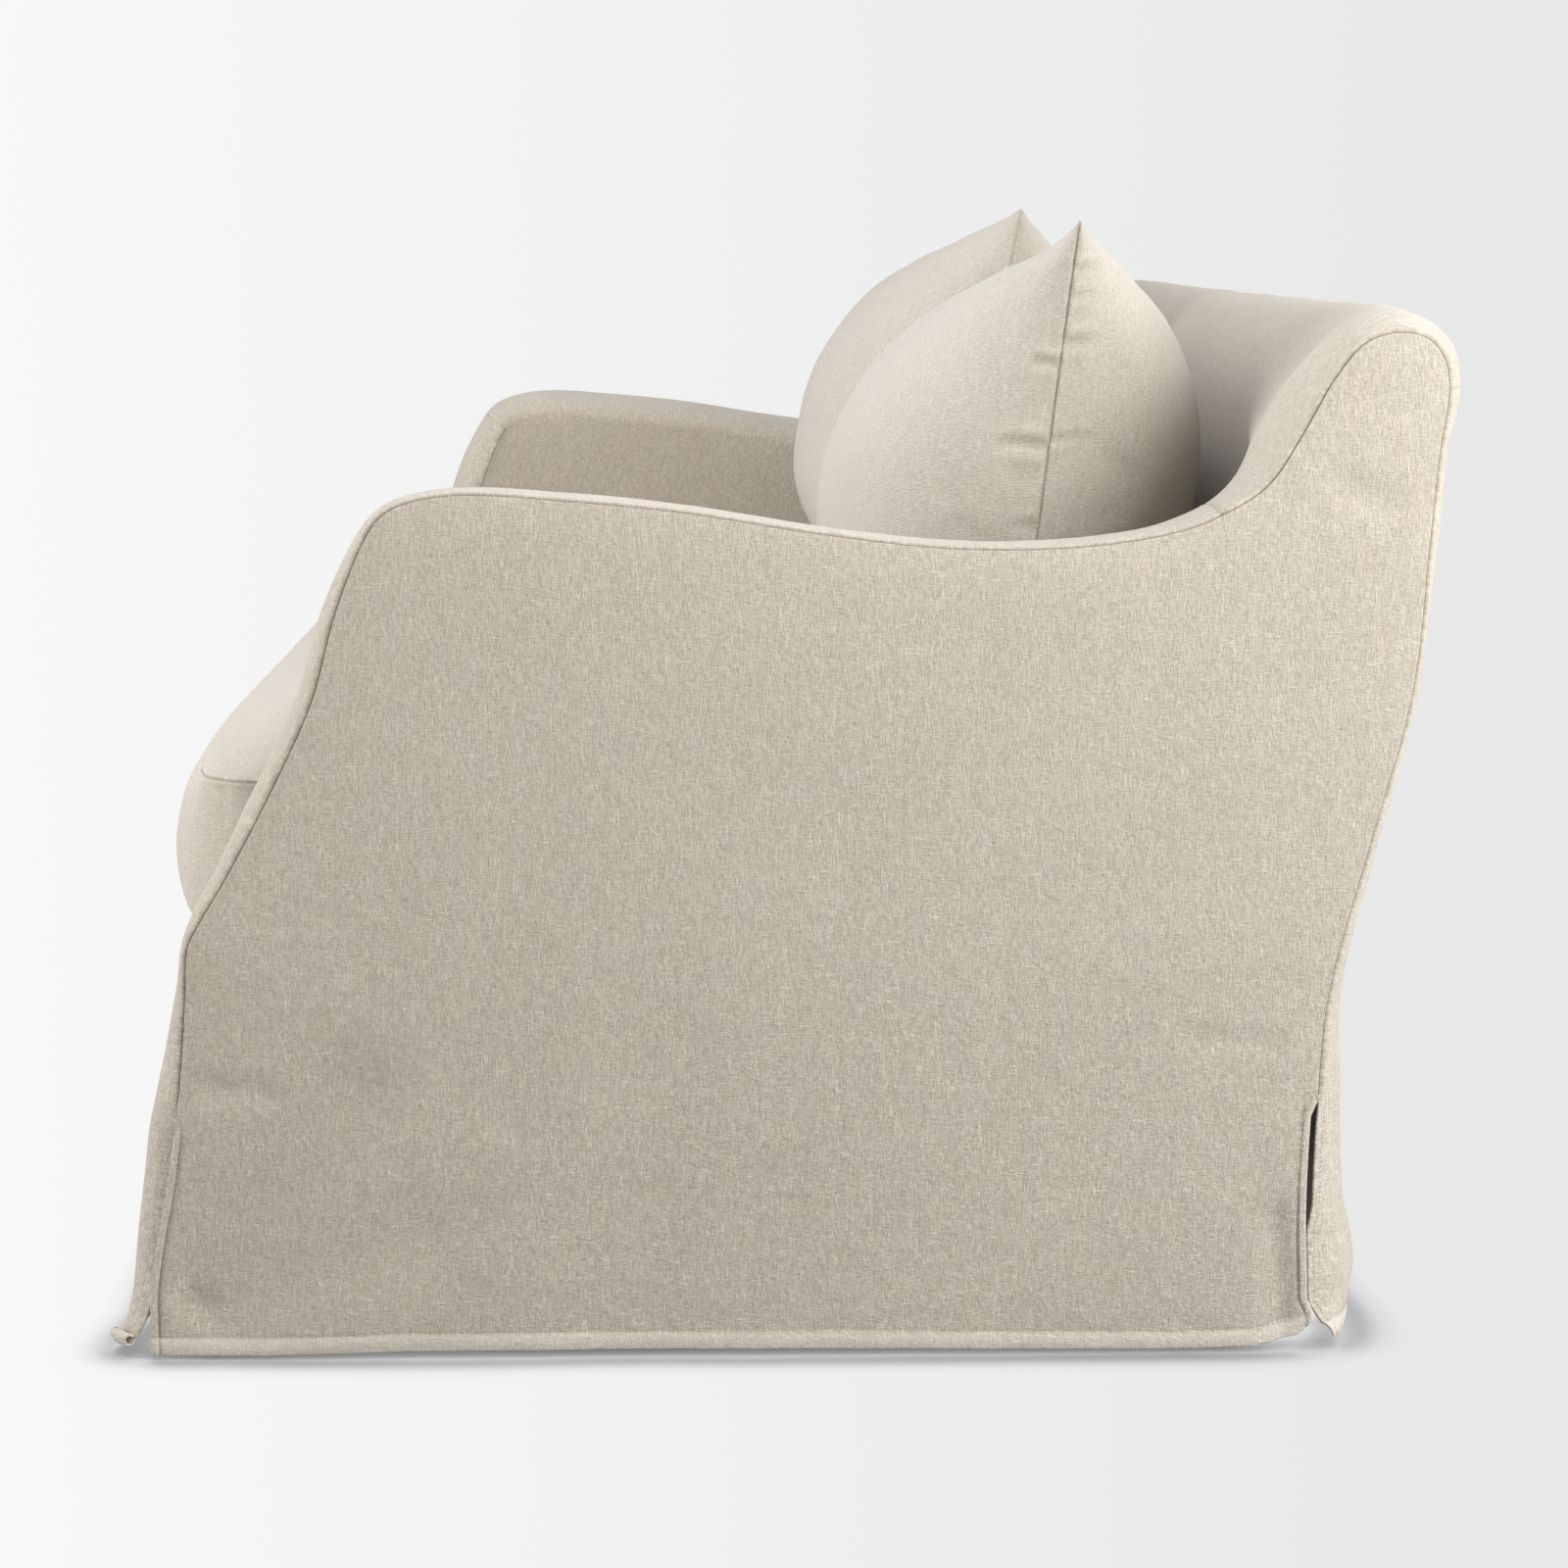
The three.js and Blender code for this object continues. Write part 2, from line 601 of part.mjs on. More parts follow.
function namedMesh(name, geometry, material) {
  const mesh = new THREE.Mesh(geometry, material);
  mesh.name = name;
  return mesh;
}

const backTable = insideBack();
const sides = [
  { s: 1, end: 'right' },
  { s: -1, end: 'left' },
];
const sheets = [
  ...sides.flatMap(({ s, end }) => [
    makeSheet(`outside_arm_${end}`, outsideArm(s, CREASES[end]), vec(s, 0, 0)),
    makeSheet(`arm_front_${end}`, armFront(s), vec(0, -1, 0)),
    makeSheet(`inside_arm_${end}`, insideArm(s), vec(-s, 0, 1)),
  ]),
  makeSheet('inside_back', backTable, vec(0, -1, 0.3)),
  makeSheet('outside_back', outsideBack(backTable.at(-1)), vec(0, 1, 0)),
  makeSheet('front_apron', frontApron(), vec(0, -1, 0)),
  makeSheet('deck', deck(), vec(0, 0, 1)),
];
const faces = collectFaces(sheets);

const slipcover = new THREE.Group();
for (const sheet of sheets) {
  slipcover.add(namedMesh(sheet.name, solidFromSheet(sheet, faces), clothOf(CLOTH_COLOUR)));
}
slipcover.add(namedMesh('seat_cushion', seatCushion(), clothOf(CUSHION_COLOUR)));
for (const { s, end } of sides) {
  slipcover.add(namedMesh(`back_cushion_${end}`, backCushion(s, PILLOWS[end]), clothOf(CUSHION_COLOUR)));
}

export default slipcover;
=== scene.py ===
"""A fitted linen slipcover for a track-arm sofa, with its seat cushion and two back cushions.

Metres. X runs along the sofa, Y from its front to its back, Z up; the origin is on the floor.
"""

import math

import bpy
import numpy as np
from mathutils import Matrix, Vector, noise


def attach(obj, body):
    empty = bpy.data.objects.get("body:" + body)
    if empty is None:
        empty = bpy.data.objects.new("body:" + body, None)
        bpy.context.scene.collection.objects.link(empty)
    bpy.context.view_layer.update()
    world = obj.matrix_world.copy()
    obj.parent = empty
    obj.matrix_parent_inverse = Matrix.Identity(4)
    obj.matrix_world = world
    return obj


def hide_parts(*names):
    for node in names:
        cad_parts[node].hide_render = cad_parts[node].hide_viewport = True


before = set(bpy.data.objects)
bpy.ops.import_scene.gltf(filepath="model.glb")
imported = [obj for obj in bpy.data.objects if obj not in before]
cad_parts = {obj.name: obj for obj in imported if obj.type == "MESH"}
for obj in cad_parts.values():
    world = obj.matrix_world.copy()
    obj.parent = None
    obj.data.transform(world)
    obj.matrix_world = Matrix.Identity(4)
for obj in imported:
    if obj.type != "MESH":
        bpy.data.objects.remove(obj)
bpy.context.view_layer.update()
scene = bpy.context.scene

# ---- the cover's sizes

HALF_LENGTH = 0.915  # from the middle to a side seam
ARM_WIDTH = 0.130
ARM_INNER = HALF_LENGTH - ARM_WIDTH
CLOTH = 0.0022  # a sheet's thickness
# Painted shade: the inner face of a sheet is drawn dark, standing in for the shade inside the
# cover.
INNER_SHADE = 0.25  # how dark the inner face of a sheet is

SIDE_PILLOW = 0.005  # how far a side panel swells out of its seams
PILLOW_REACH = 0.026  # within about this distance of them
CREST_REACH = 0.015  # how fast an arm's cloth rises out of its outer seam
CREST_FALL = 0.009  # and how far it falls again toward its inner edge
INNER_ROUND = 0.036  # radius of that inner edge

# The back between its wings seen from the side, from the deck up: y, z.
DECK_REAR = (0.318, 0.300)
BACK_KNEE = (0.412, 0.650)
BACK_NECK = (0.434, 0.766)
BACK_HEAD = (0.447, 0.832)
RECESS_REACH = 0.062  # how fast the back sinks in from an arm's inner wall
WING_REACH = 0.270  # and from a wing's inner edge
WING_ROLL = 0.012  # how much fuller a wing is at its inner edge than at its seam
HEAD_LIFT = 0.010  # how far wadding lifts the cloth over the top rail
HEM_RIPPLE = 0.005  # how far a hanging hem waves in and out
# The outside back, inward from its sides and down from its top.
SETTLE_FROM, SETTLE_OVER, TOP_OVER = 0.060, 0.200, 0.064
EDGE_RISE = 0.020

# The side seam seen from the side, in millimetres: y, z, how far the next cloth stands out of
# the seam (crest) and where that cloth ends over the arm's inner edge (inner).
SIDE_SEAM = np.array([
    (-505, 3, 24, 12), (-500, 78, 26, 12), (-490, 141, 28, 12), (-485, 185, 27, 11),
    (-478, 250, 19, 5), (-474, 300, 12, -6), (-471, 340, 9, -13), (-461, 360, 11, -16),
    (-438, 398, 14, -19), (-396, 477, 16, -22), (-368, 538, 16, -24), (-347, 611, 14, -25),
    (-319, 675, 8, -26), (-303, 690, 5, -26), (-258, 701, 3, -26), (-157, 696, 3, -26),
    (-70, 687, 3, -27), (31, 671, 3, -28), (134, 659, 3, -28), (233, 659, 3, -28),
    (313, 670, 4, -27), (352, 684, 6, -26), (389, 708, 8, -24), (416, 749, 8, -20),
    (440, 792, 9, -12), (464, 820, 10, 0), (490, 828, 10, 8), (512, 824, 10, 10),
    (527, 808, 12, 12), (532, 783, 11, 12), (526, 734, 14, 16), (520, 662, 15, 16),
    (509, 540, 12, 13), (478, 418, 15, 14), (448, 298, 19, 18), (441, 211, 27, 22),
    (438, 120, 35, 27), (440, 60, 43, 30), (442, 9, 32, 26),
]) / 1000
SEAM_ROW = {
    "frontHem": 0, "frontVent": 3, "deckFront": 5, "armFrontTop": 12, "frontCorner": 13,
    "armBack": 21, "rearCorner": 27, "backTop": 29, "rearVent": 35, "rearHem": 38,
}

# The hem's height under a side panel, by y.
SIDE_HEM = np.array([
    (-0.505, 0.003), (-0.41, 0.003), (-0.29, 0.006), (0.0, 0.006),
    (0.33, 0.003), (0.392, 0.0048), (0.428, 0.0130), (0.442, 0.0265),
])

FRONT_VENT = {"top": 0.190, "flare_top": 0.074, "flare": 0.026, "behind": 0.0030,
              "inward": 0.0034, "reach": 0.006}
CURL = {"start": 0.0108, "radius": 0.0037, "turns": 5.6, "from": 0.008, "wide": 0.034}
# How far the side panel's free front edge lies beyond the seam's line, by height.
FRONT_LAP = np.array([
    (0, 0.0020), (0.02, 0.0035), (0.05, 0.0052), (0.075, 0.0040), (0.15, 0.0015), (0.185, 0)])
REAR_VENT = {"top": 0.211, "slack": 0.0058, "reach": 0.016, "closed": 0.027, "shut": 0.018,
             "tuck": 0.0051, "turned_out": 0.015}
VENT_FADE = 0.006  # the height over which a seam gives way to a vent

# Soft troughs and ridges pressed into a side panel: from, to, half width, depth.
CREASES = {
    1: [
        ((-0.476, 0.228), (-0.414, 0.222), 0.011, 0.0040),
        ((-0.340, 0.220), (-0.466, 0.052), 0.036, 0.0085),
        ((-0.300, 0.110), (-0.430, 0.045), 0.030, 0.0040),
        ((-0.480, 0.050), (-0.462, 0.042), 0.012, 0.0045),
        ((0.408, 0.110), (0.416, 0.020), 0.013, 0.0060),
        ((0.340, 0.262), (0.400, 0.258), 0.009, 0.0022),
        ((0.452, 0.706), (0.486, 0.690), 0.012, 0.0030),
        ((-0.120, 0.040), (-0.090, 0.230), 0.060, 0.0030),
    ],
    -1: [
        ((-0.470, 0.210), (-0.400, 0.240), 0.012, 0.0030),
        ((-0.380, 0.150), (-0.470, 0.060), 0.026, 0.0040),
        ((0.404, 0.120), (0.410, 0.030), 0.014, 0.0040),
        ((0.100, 0.030), (0.060, 0.240), 0.060, 0.0030),
    ],
}

# A seam's "dark" is the painted shade in its groove.
SEAM_GROOVE = {"depth": 0.0014, "half": 0.0008, "dark": 0.55}
PLAIN_SEAM = {"depth": 0.0012, "ridge": 0.0005, "dark": 0.5}
CROSS_SEAM = {"depth": 0.0003, "ridge": 0.0001, "dark": 0.12}
SEAM_RIDGE = {"height": 0.0011, "start": 0.0008, "width": 0.0043, "edge": 0.0009}
# Painted shade along the far edge of a seam's ridge: where, how wide and how dark.
RIDGE_SHADE = {"at": 0.0049, "half": 0.0006, "dark": 0.20}
# Turned edges: how wide, how far they stand out and with what arch, and their stitched line; the
# painted shade along that line (dark), and how much paler the band is drawn (pale), partly worn
# and partly painted highlight.
HEM = {"wide": 0.0135, "bulge": 0.0024, "arch": (1.6, 0.75), "line": 0.0141, "half": 0.0012,
       "groove": 0.0004, "dark": 0.04, "pale": 1.25}
VENT_EDGE = {"wide": 0.0065, "bulge": 0.0012, "arch": (2, 1), "line": 0.0069, "half": 0.0009,
             "groove": 0.0015, "pale": 0.35}
STITCH = {"length": 0.0030, "pitch": 0.0042, "half": 0.00035, "proud": 0.00030}

# Distances from a sewn edge, closer together where the cloth turns into the seam.
NEAR_SEAM = (0, 0.0007, 0.0014, 0.0022, 0.0031, 0.0041, 0.0051, 0.0062, 0.0080, 0.0105,
             0.0140, 0.0190)
NEAR_HEM = (0, 0.0008, 0.0020, 0.0040, 0.0065, 0.0090, 0.0112, 0.0124, 0.0133, 0.0141, 0.0150,
            0.0163, 0.0185, 0.0220)
NEAR_EDGE = (0, 0.0010, 0.0030)
SIDES = ((1, "right"), (-1, "left"))

# ---- small sums


def mix(a, b, t):
    return a + (b - a) * t


def clamp(t):
    return np.clip(t, 0, 1)


def smooth(t):
    t = clamp(t)
    return t * t * (3 - 2 * t)


def bell(distance, half):
    return np.exp(-((distance / half) ** 2))


def graded(length, step, start=NEAR_SEAM, end=NEAR_SEAM):
    """Places from 0 to length, crowded near the ends as start and end say."""
    low, high = np.array(start, float), length - np.array(end, float)[::-1]
    count = max(2, int(round((high[0] - low[-1]) / step)) + 1)
    return np.concatenate([low[:-1], np.linspace(low[-1], high[0], count), high[1:]])


def unit(vectors):
    return vectors / np.maximum(np.linalg.norm(vectors, axis=-1, keepdims=True), 1e-12)


def lumps(u, v, size, seed):
    """A soft random field with lumps of about this size."""
    flat = [noise.noise((a, b, seed)) for a, b in zip((u / size).ravel(), (v / size).ravel())]
    return np.array(flat).reshape(u.shape)


def around_places(points, places):
    """How far each place is past the point below it, and the four points around it."""
    last = len(points) - 1
    low = np.clip(np.floor(places).astype(int), 0, last - 1)
    at = lambda i: points[np.clip(i, 0, last)]
    a, b, c, d = at(low - 1), at(low), at(low + 1), at(low + 2)
    a = np.where((low == 0)[:, None], 2 * b - c, a)
    d = np.where((low == last - 1)[:, None], 2 * c - b, d)
    return (places - low)[:, None], a, b, c, d


def spline(points, places):
    """A smooth curve through points, read at places counted in points."""
    t, a, b, c, d = around_places(np.asarray(points, float), places)
    return 0.5 * (2 * b + (c - a) * t + (2 * a - 5 * b + 4 * c - d) * t**2
                  + (3 * b - a - 3 * c + d) * t**3)


# ---- the side seam


def seam_row_place(places):
    """y and z on the seam at places counted in rows: a centripetal curve through the rows."""
    t, a, b, c, d = around_places(SIDE_SEAM[:, :2], places)
    step = lambda p, q: np.sqrt(np.linalg.norm(p - q, axis=1))[:, None]
    d0, d1, d2 = step(a, b), step(b, c), step(c, d)
    t1 = ((b - a) / d0 - (c - a) / (d0 + d1) + (c - b) / d1) * d1
    t2 = ((c - b) / d1 - (d - b) / (d1 + d2) + (d - c) / d2) * d1
    return b + t1 * t + (3 * (c - b) - 2 * t1 - t2) * t**2 + (2 * (b - c) + t1 + t2) * t**3


ROW_PARTS = 60
row_places = np.linspace(0, len(SIDE_SEAM) - 1, (len(SIDE_SEAM) - 1) * ROW_PARTS + 1)
seam_fine = seam_row_place(row_places)
seam_length = np.concatenate([[0], np.cumsum(np.linalg.norm(np.diff(seam_fine, axis=0), axis=1))])
seam_facts = spline(SIDE_SEAM[:, 2:], row_places)
MARK = {name: seam_length[row * ROW_PARTS] for name, row in SEAM_ROW.items()}


class Seam:
    """The side seam at some distances along it."""

    def __init__(self, s):
        self.s = np.asarray(s, float)
        read = lambda values: np.interp(self.s, seam_length, values)
        self.y, self.z = read(seam_fine[:, 0]), read(seam_fine[:, 1])
        self.crest, self.inner = read(seam_facts[:, 0]), read(seam_facts[:, 1])
        self.out_y, self.out_z = read(seam_out[:, 0]), read(seam_out[:, 1])
    def edge(self, offset):
        """y and z this far out of the seam, one row a place."""
        return np.stack([self.y + self.out_y * offset, self.z + self.out_z * offset], axis=1)

    def points(self, x, offset):
        """A table of points: one row a place on the seam, one column an x."""
        x, offset = np.broadcast_arrays(x, offset)
        y = self.y[:, None] + self.out_y[:, None] * offset
        z = self.z[:, None] + self.out_z[:, None] * offset
        return np.stack([x, y, z], axis=-1)


SEAM_SOFTEN = 0.006  # half the length over which a normal is measured


def seam_outward():
    """Unit normals of the seam, softened over about a centimetre."""
    read = lambda at: np.stack([np.interp(at, seam_length, values) for values in seam_fine.T], 1)
    along = unit(read(seam_length + SEAM_SOFTEN) - read(seam_length - SEAM_SOFTEN))
    return np.stack([-along[:, 1], along[:, 0]], axis=1)


seam_out = seam_outward()


def stretch(start, end, step, near_start=NEAR_SEAM, near_end=NEAR_SEAM):
    length = MARK[end] - MARK[start]
    return Seam(MARK[start] + graded(length, step, near_start, near_end))


SEAM_DOTS = Seam(np.linspace(0, seam_length[-1], 640))


def segment_distance(y, z, a, b):
    """Distance from the straight line between two points."""
    dy, dz = b[0] - a[0], b[1] - a[1]
    t = clamp(((y - a[0]) * dy + (z - a[1]) * dz) / (dy**2 + dz**2))
    return np.hypot(y - a[0] - t * dy, z - a[1] - t * dz)


def seam_distance(y, z):
    """Distance from the side seam in its plane, and the seam's outward normal nearest by."""
    near = np.full(y.shape, 1e9)
    index = np.zeros(y.shape, int)
    dots = np.stack([SEAM_DOTS.y, SEAM_DOTS.z], axis=1)
    for i, (a, b) in enumerate(zip(dots, dots[1:])):
        far = segment_distance(y, z, a, b)
        closer = far < near
        near[closer], index[closer] = far[closer], i
    return near, SEAM_DOTS.out_y[index], SEAM_DOTS.out_z[index]


# ---- finishing marks on cloth


def turned_edge(distance, shape):
    """How a turned and stitched edge stands out of its cloth, and where its line of thread is."""
    steep, middle = shape["arch"]
    arch = 1 - (steep * clamp(distance / shape["wide"]) - middle) ** 2
    puffed = shape["bulge"] * np.sqrt(clamp(arch)) * (distance < shape["wide"])
    line = bell(distance - shape["line"], shape["half"])
    return puffed - shape["groove"] * line, line


def seam_ridge(distance, height=SEAM_RIDGE["height"]):
    """The low ridge that the seam allowances press up beside a seam."""
    up = smooth((distance - SEAM_RIDGE["start"]) / SEAM_RIDGE["edge"])
    down = 1 - smooth((distance - SEAM_RIDGE["start"] - SEAM_RIDGE["width"]) / SEAM_RIDGE["edge"])
    return height * up * down


def row_lengths(grid, axis):
    """Distances along the rows (axis 0) or columns (axis 1) of a table, from its first edge."""
    steps = np.linalg.norm(np.diff(np.nan_to_num(grid), axis=axis), axis=-1)
    zero = np.zeros_like(np.take(steps, [0], axis=axis))
    return np.concatenate([zero, np.cumsum(steps, axis=axis)], axis=axis)


def normals_of(grid, toward):
    rows = np.gradient(np.nan_to_num(grid), axis=0)
    columns = np.gradient(np.nan_to_num(grid), axis=1)
    normals = unit(np.cross(rows, columns))
    centre = normals[grid.shape[0] // 2, grid.shape[1] // 2]
    return normals if centre @ np.array(toward) > 0 else -normals


class Cloth:
    """A table of points on a piece of cloth's outer face, with what is pressed and sewn on it."""

    def __init__(self, grid, uv, toward):
        self.grid, self.uv, self.toward = grid, uv, toward
        self.shade = np.zeros(grid.shape[:2])
        self.pale = np.zeros(grid.shape[:2])
        self.normals = normals_of(grid, toward)

    def press(self, height):
        self.grid = self.grid + self.normals * height[..., None]

    # Painted shade, which the linen reads as its seam_shade mark.
    def darken(self, amount):
        self.shade = np.maximum(self.shade, amount)

    # Paler colour: partly worn, partly painted highlight.
    def wear_and_highlight(self, amount):
        self.pale = np.maximum(self.pale, amount)

    def turn_hem(self, height, amount=1.0):
        """A turned-up and stitched hem, paler where it stands out: partly worn, partly painted
        highlight.
        """
        hem, line = turned_edge(height, HEM)
        self.press(hem * amount)
        self.mark_hem(height, line)

    def mark_hem(self, height, line):
        # Painted shade along the stitched line; the band drawn paler, partly worn and partly
        # painted highlight.
        self.darken(HEM["dark"] * line)
        self.wear_and_highlight(HEM["pale"] * smooth((HEM["wide"] - height) / 0.002))

    def sew(self, axis, end, shape=CROSS_SEAM):
        """A plain seam along one edge of the table: the cloth turns in and its allowance shows."""
        distance = row_lengths(self.grid, axis)
        if end:
            distance = np.take(distance, [-1], axis=axis) - distance
        line = bell(distance, SEAM_GROOVE["half"])
        self.press(seam_ridge(distance, shape["ridge"]) - shape["depth"] * line)
        # Painted shade in the seam's groove.
        self.darken(shape["dark"] * line)


# ---- the body cover's surfaces


def arm_offset(w, crest, inner, wing=0.0):
    """The cloth's rise across an arm: up from the outer seam, then round the inner edge.
    On a wing it sinks away softly instead of rounding an edge."""
    turn = clamp((w - 1) * (ARM_WIDTH / INNER_ROUND) + 1)
    risen = crest * (1 - np.exp(-w * ARM_WIDTH / CREST_REACH)) - CREST_FALL * w**2
    sinking = 1 - smooth((w - 0.56) / 0.44)
    return mix(inner, risen, mix(np.sqrt(1 - turn**2), sinking, wing))


def across_arm():
    """Places across an arm, 0 at the side seam and 1 at its inner edge."""
    round_start = ARM_WIDTH - INNER_ROUND
    outer = graded(round_start, 0.008, NEAR_SEAM, (0,))
    angles = np.linspace(0, math.pi / 2, 13)[1:]
    return np.concatenate([outer, round_start + INNER_ROUND * np.sin(angles)]) / ARM_WIDTH


def coons(low, high, start, end, u, v):
    """A surface patch from its four edges, each an array of (y, z)."""
    u, v = u[None, :, None], v[:, None, None]
    low, high, start, end = low[None], high[None], start[:, None], end[:, None]
    corners = mix(mix(low[:, :1], low[:, -1:], u), mix(high[:, :1], high[:, -1:], u), v)
    return mix(low, high, v) + mix(start, end, u) - corners


def front_lap(z):
    return np.interp(z, *FRONT_LAP.T)


def front_seam_shown(z):
    """How much of the front seam's line shows: it fades out a little above its vent."""
    return smooth((z - FRONT_VENT["top"] - 0.004) / 0.034)


def hem_height(y):
    return np.interp(y, *SIDE_HEM.T)


PANEL_TALL = 0.76  # about how tall a side panel is, to share out its rows
PANEL_STEP = 0.0062
REAR_END = 0.0175  # how far before the seam's end a side panel's rear edge begins
FRONT_PART, REAR_PART = -0.35, 0.30  # the vents lie beyond these, along y
FRONT_DOTS = 170  # the seam's dots that run up its front


def side_panel(s):
    top = stretch("frontCorner", "rearCorner", PANEL_STEP)
    tall = graded(PANEL_TALL, PANEL_STEP, NEAR_HEM, NEAR_SEAM) / PANEL_TALL
    front = Seam(mix(MARK["frontHem"], MARK["frontCorner"], tall))
    rear = Seam(mix(MARK["rearHem"] - REAR_END, MARK["rearCorner"], tall))
    u = (top.s - top.s[0]) / (top.s[-1] - top.s[0])
    front_y = front.y - front_lap(front.z)
    rear_free = smooth((REAR_VENT["top"] - rear.z) / REAR_VENT["reach"])
    rear_free = rear_free * smooth((rear.z - REAR_VENT["closed"]) / REAR_VENT["shut"])
    rear_y = rear.y - REAR_VENT["slack"] * rear_free
    hem_y = mix(front_y[0], rear_y[0], u)
    hem_z = hem_height(hem_y)
    hem_z[0], hem_z[-1] = front.z[0], rear.z[0]
    edges = (hem_y, hem_z), (top.y, top.z), (front_y, front.z), (rear_y, rear.z)
    flat = coons(*(np.stack(edge, axis=1) for edge in edges), u, tall)
    y, z = flat[..., 0], flat[..., 1]
    near, out_y, out_z = seam_distance(y, z)
    height = z - hem_height(y)

    # Below a vent's top its edge isn't sewn, so the seam's own marks stop there.
    seam_y = np.interp(z, SEAM_DOTS.z[:FRONT_DOTS], SEAM_DOTS.y[:FRONT_DOTS])
    front_edge = y - seam_y + front_lap(z)
    rear_edge = np.interp(z, rear.z, rear_y) - y
    in_front = (y < FRONT_PART) * smooth((FRONT_VENT["top"] - z) / VENT_FADE)
    in_rear = (y > REAR_PART) * smooth((REAR_VENT["top"] - z) / VENT_FADE)
    sewn = (1 - in_front) * (1 - in_rear)

    swell = SIDE_PILLOW * (1 - np.exp(-near / PILLOW_REACH))
    fade = clamp(near / PILLOW_REACH)
    for start, end, half, depth in CREASES[s]:
        swell = swell - fade * depth * bell(segment_distance(y, z, start, end), half)
    # The cloth lies less flat low down, where nothing fills it.
    loose = 0.35 + 0.65 * smooth((0.42 - z) / 0.35)
    uneven = 0.0003 * lumps(y, z, 0.115, 3.1 + s) + 0.0005 * lumps(y, z, 0.042, 7.7 + s)
    swell = swell + fade * loose * uneven
    swell = swell + fade * 0.00028 * (0.4 + loose) * lumps(y, z, 0.0135, 11.3 + s)

    shown = np.where(y < FRONT_PART, front_seam_shown(z), 1.0)
    line = bell(near, SEAM_GROOVE["half"]) * sewn * shown
    hem, hem_line = turned_edge(height, HEM)
    front_band, front_line = turned_edge(np.maximum(front_edge, 0), VENT_EDGE)
    rear_band, rear_line = turned_edge(np.maximum(rear_edge, 0), VENT_EDGE)
    swell = swell + hem + front_band * in_front + rear_band * in_rear
    swell = swell + 0.0006 * bell(height - 0.019, 0.006) * lumps(y, z, 0.016, 5.5)

    sink = SEAM_GROOVE["depth"] * line
    x = s * (HALF_LENGTH + swell - sink)
    grid = np.stack([x, y - out_y * sink, z - out_z * sink], axis=-1)
    cloth = Cloth(grid, np.stack([y * s, z], axis=-1), (s, 0, 0))
    above_hem = smooth((height - HEM["wide"] + 0.002) / 0.004)
    # Painted shade in the seam's groove and along the vents' stitched lines; the vents' turned
    # bands drawn paler, partly worn and partly painted highlight.
    cloth.darken(SEAM_GROOVE["dark"] * line)
    cloth.darken(above_hem * (1.0 * front_line * in_front + 0.50 * rear_line * in_rear))
    cloth.mark_hem(height, hem_line)
    band = lambda edge: smooth((VENT_EDGE["wide"] - edge) / 0.001)
    cloth.wear_and_highlight(VENT_EDGE["pale"] * (band(front_edge) * in_front + band(rear_edge) * in_rear))
    return cloth


def strip_groove(grid, seam, s, w, sewn):
    """The outer edge of a cloth that is sewn to a side panel, turned in and ridged beside it."""
    away = (w * ARM_WIDTH)[None, :]
    sink = SEAM_GROOVE["depth"] * bell(away, SEAM_GROOVE["half"]) * sewn[:, None]
    raised = seam_ridge(away) * sewn[:, None] - sink
    grid[..., 0] -= s * sink
    grid[..., 1] += seam.out_y[:, None] * raised
    grid[..., 2] += seam.out_z[:, None] * raised
    # Painted shade in the groove and along the far edge of the ridge beside it.
    marks = np.maximum(SEAM_GROOVE["dark"] * bell(away, SEAM_GROOVE["half"]),
                       RIDGE_SHADE["dark"] * bell(away - RIDGE_SHADE["at"], RIDGE_SHADE["half"]))
    return marks * sewn[:, None]


def groove_sides(grid, seam, x, strips, sewn):
    """The same for a cloth that runs from one side panel to the other."""
    shade = np.zeros(grid.shape[:2])
    for s in (1, -1):
        side = strips & (x * s > 0)
        part = grid[:, side]
        shade[:, side] = strip_groove(
            part, seam, s, (HALF_LENGTH - abs(x[side])) / ARM_WIDTH, sewn)
        grid[:, side] = part
    return shade


def soft(cloth, fine=0.0006, broad=0.0012, seed=1.0, size=0.11):
    """Uneven, worn-in cloth, left flat at its edges."""
    rows, columns = row_lengths(cloth.grid, 0), row_lengths(cloth.grid, 1)
    edge = np.minimum(np.minimum(rows, rows.max(0, keepdims=True) - rows),
                      np.minimum(columns, columns.max(1, keepdims=True) - columns))
    fade = smooth(edge / 0.03)
    u, v = cloth.uv[..., 0], cloth.uv[..., 1]
    cloth.press(fade * (broad * lumps(u, v, size, seed) + fine * lumps(u, v, size * 0.36, seed + 4)
                        + 0.3 * fine * lumps(u, v, 0.014, seed + 9)))


def arm_front(s):
    seam = stretch("frontHem", "armFrontTop", 0.0065, NEAR_HEM, NEAR_SEAM)
    w = across_arm()
    away = (w * ARM_WIDTH)[None, :]
    low = clamp((FRONT_VENT["flare_top"] - seam.z) / FRONT_VENT["flare_top"])[:, None]
    flare = FRONT_VENT["flare"] * low**2 * (1 - w[None, :]) ** 2
    offset = arm_offset(w[None, :], seam.crest[:, None], seam.inner[:, None]) + flare
    grid = seam.points(s * (HALF_LENGTH - away), offset)
    # Above the flare the skirt's free edge lies just behind the side panel's.
    below_top = smooth((FRONT_VENT["top"] + 0.004 - seam.z) / 0.008)
    behind = (below_top * smooth((seam.z - 0.045) / 0.030))[:, None]
    behind = behind * np.exp(-away / FRONT_VENT["reach"])
    grid[..., 0] -= s * FRONT_VENT["inward"] * behind
    grid[..., 1] += FRONT_VENT["behind"] * behind
    shade = strip_groove(grid, seam, s, w, front_seam_shown(seam.z))
    along = np.broadcast_to(seam.s[:, None], offset.shape)
    height = along - along[0, 0]
    uv = np.stack([grid[..., 0], along], axis=-1)
    rolled = curl_corner(grid, away, height)
    cloth = Cloth(grid, uv, (0, -1, 0))
    cloth.shade = shade
    soft(cloth, seed=21 + s)
    cloth.turn_hem(height, 1 - rolled)
    cloth.sew(0, True)
    cloth.sew(1, True)
    return cloth


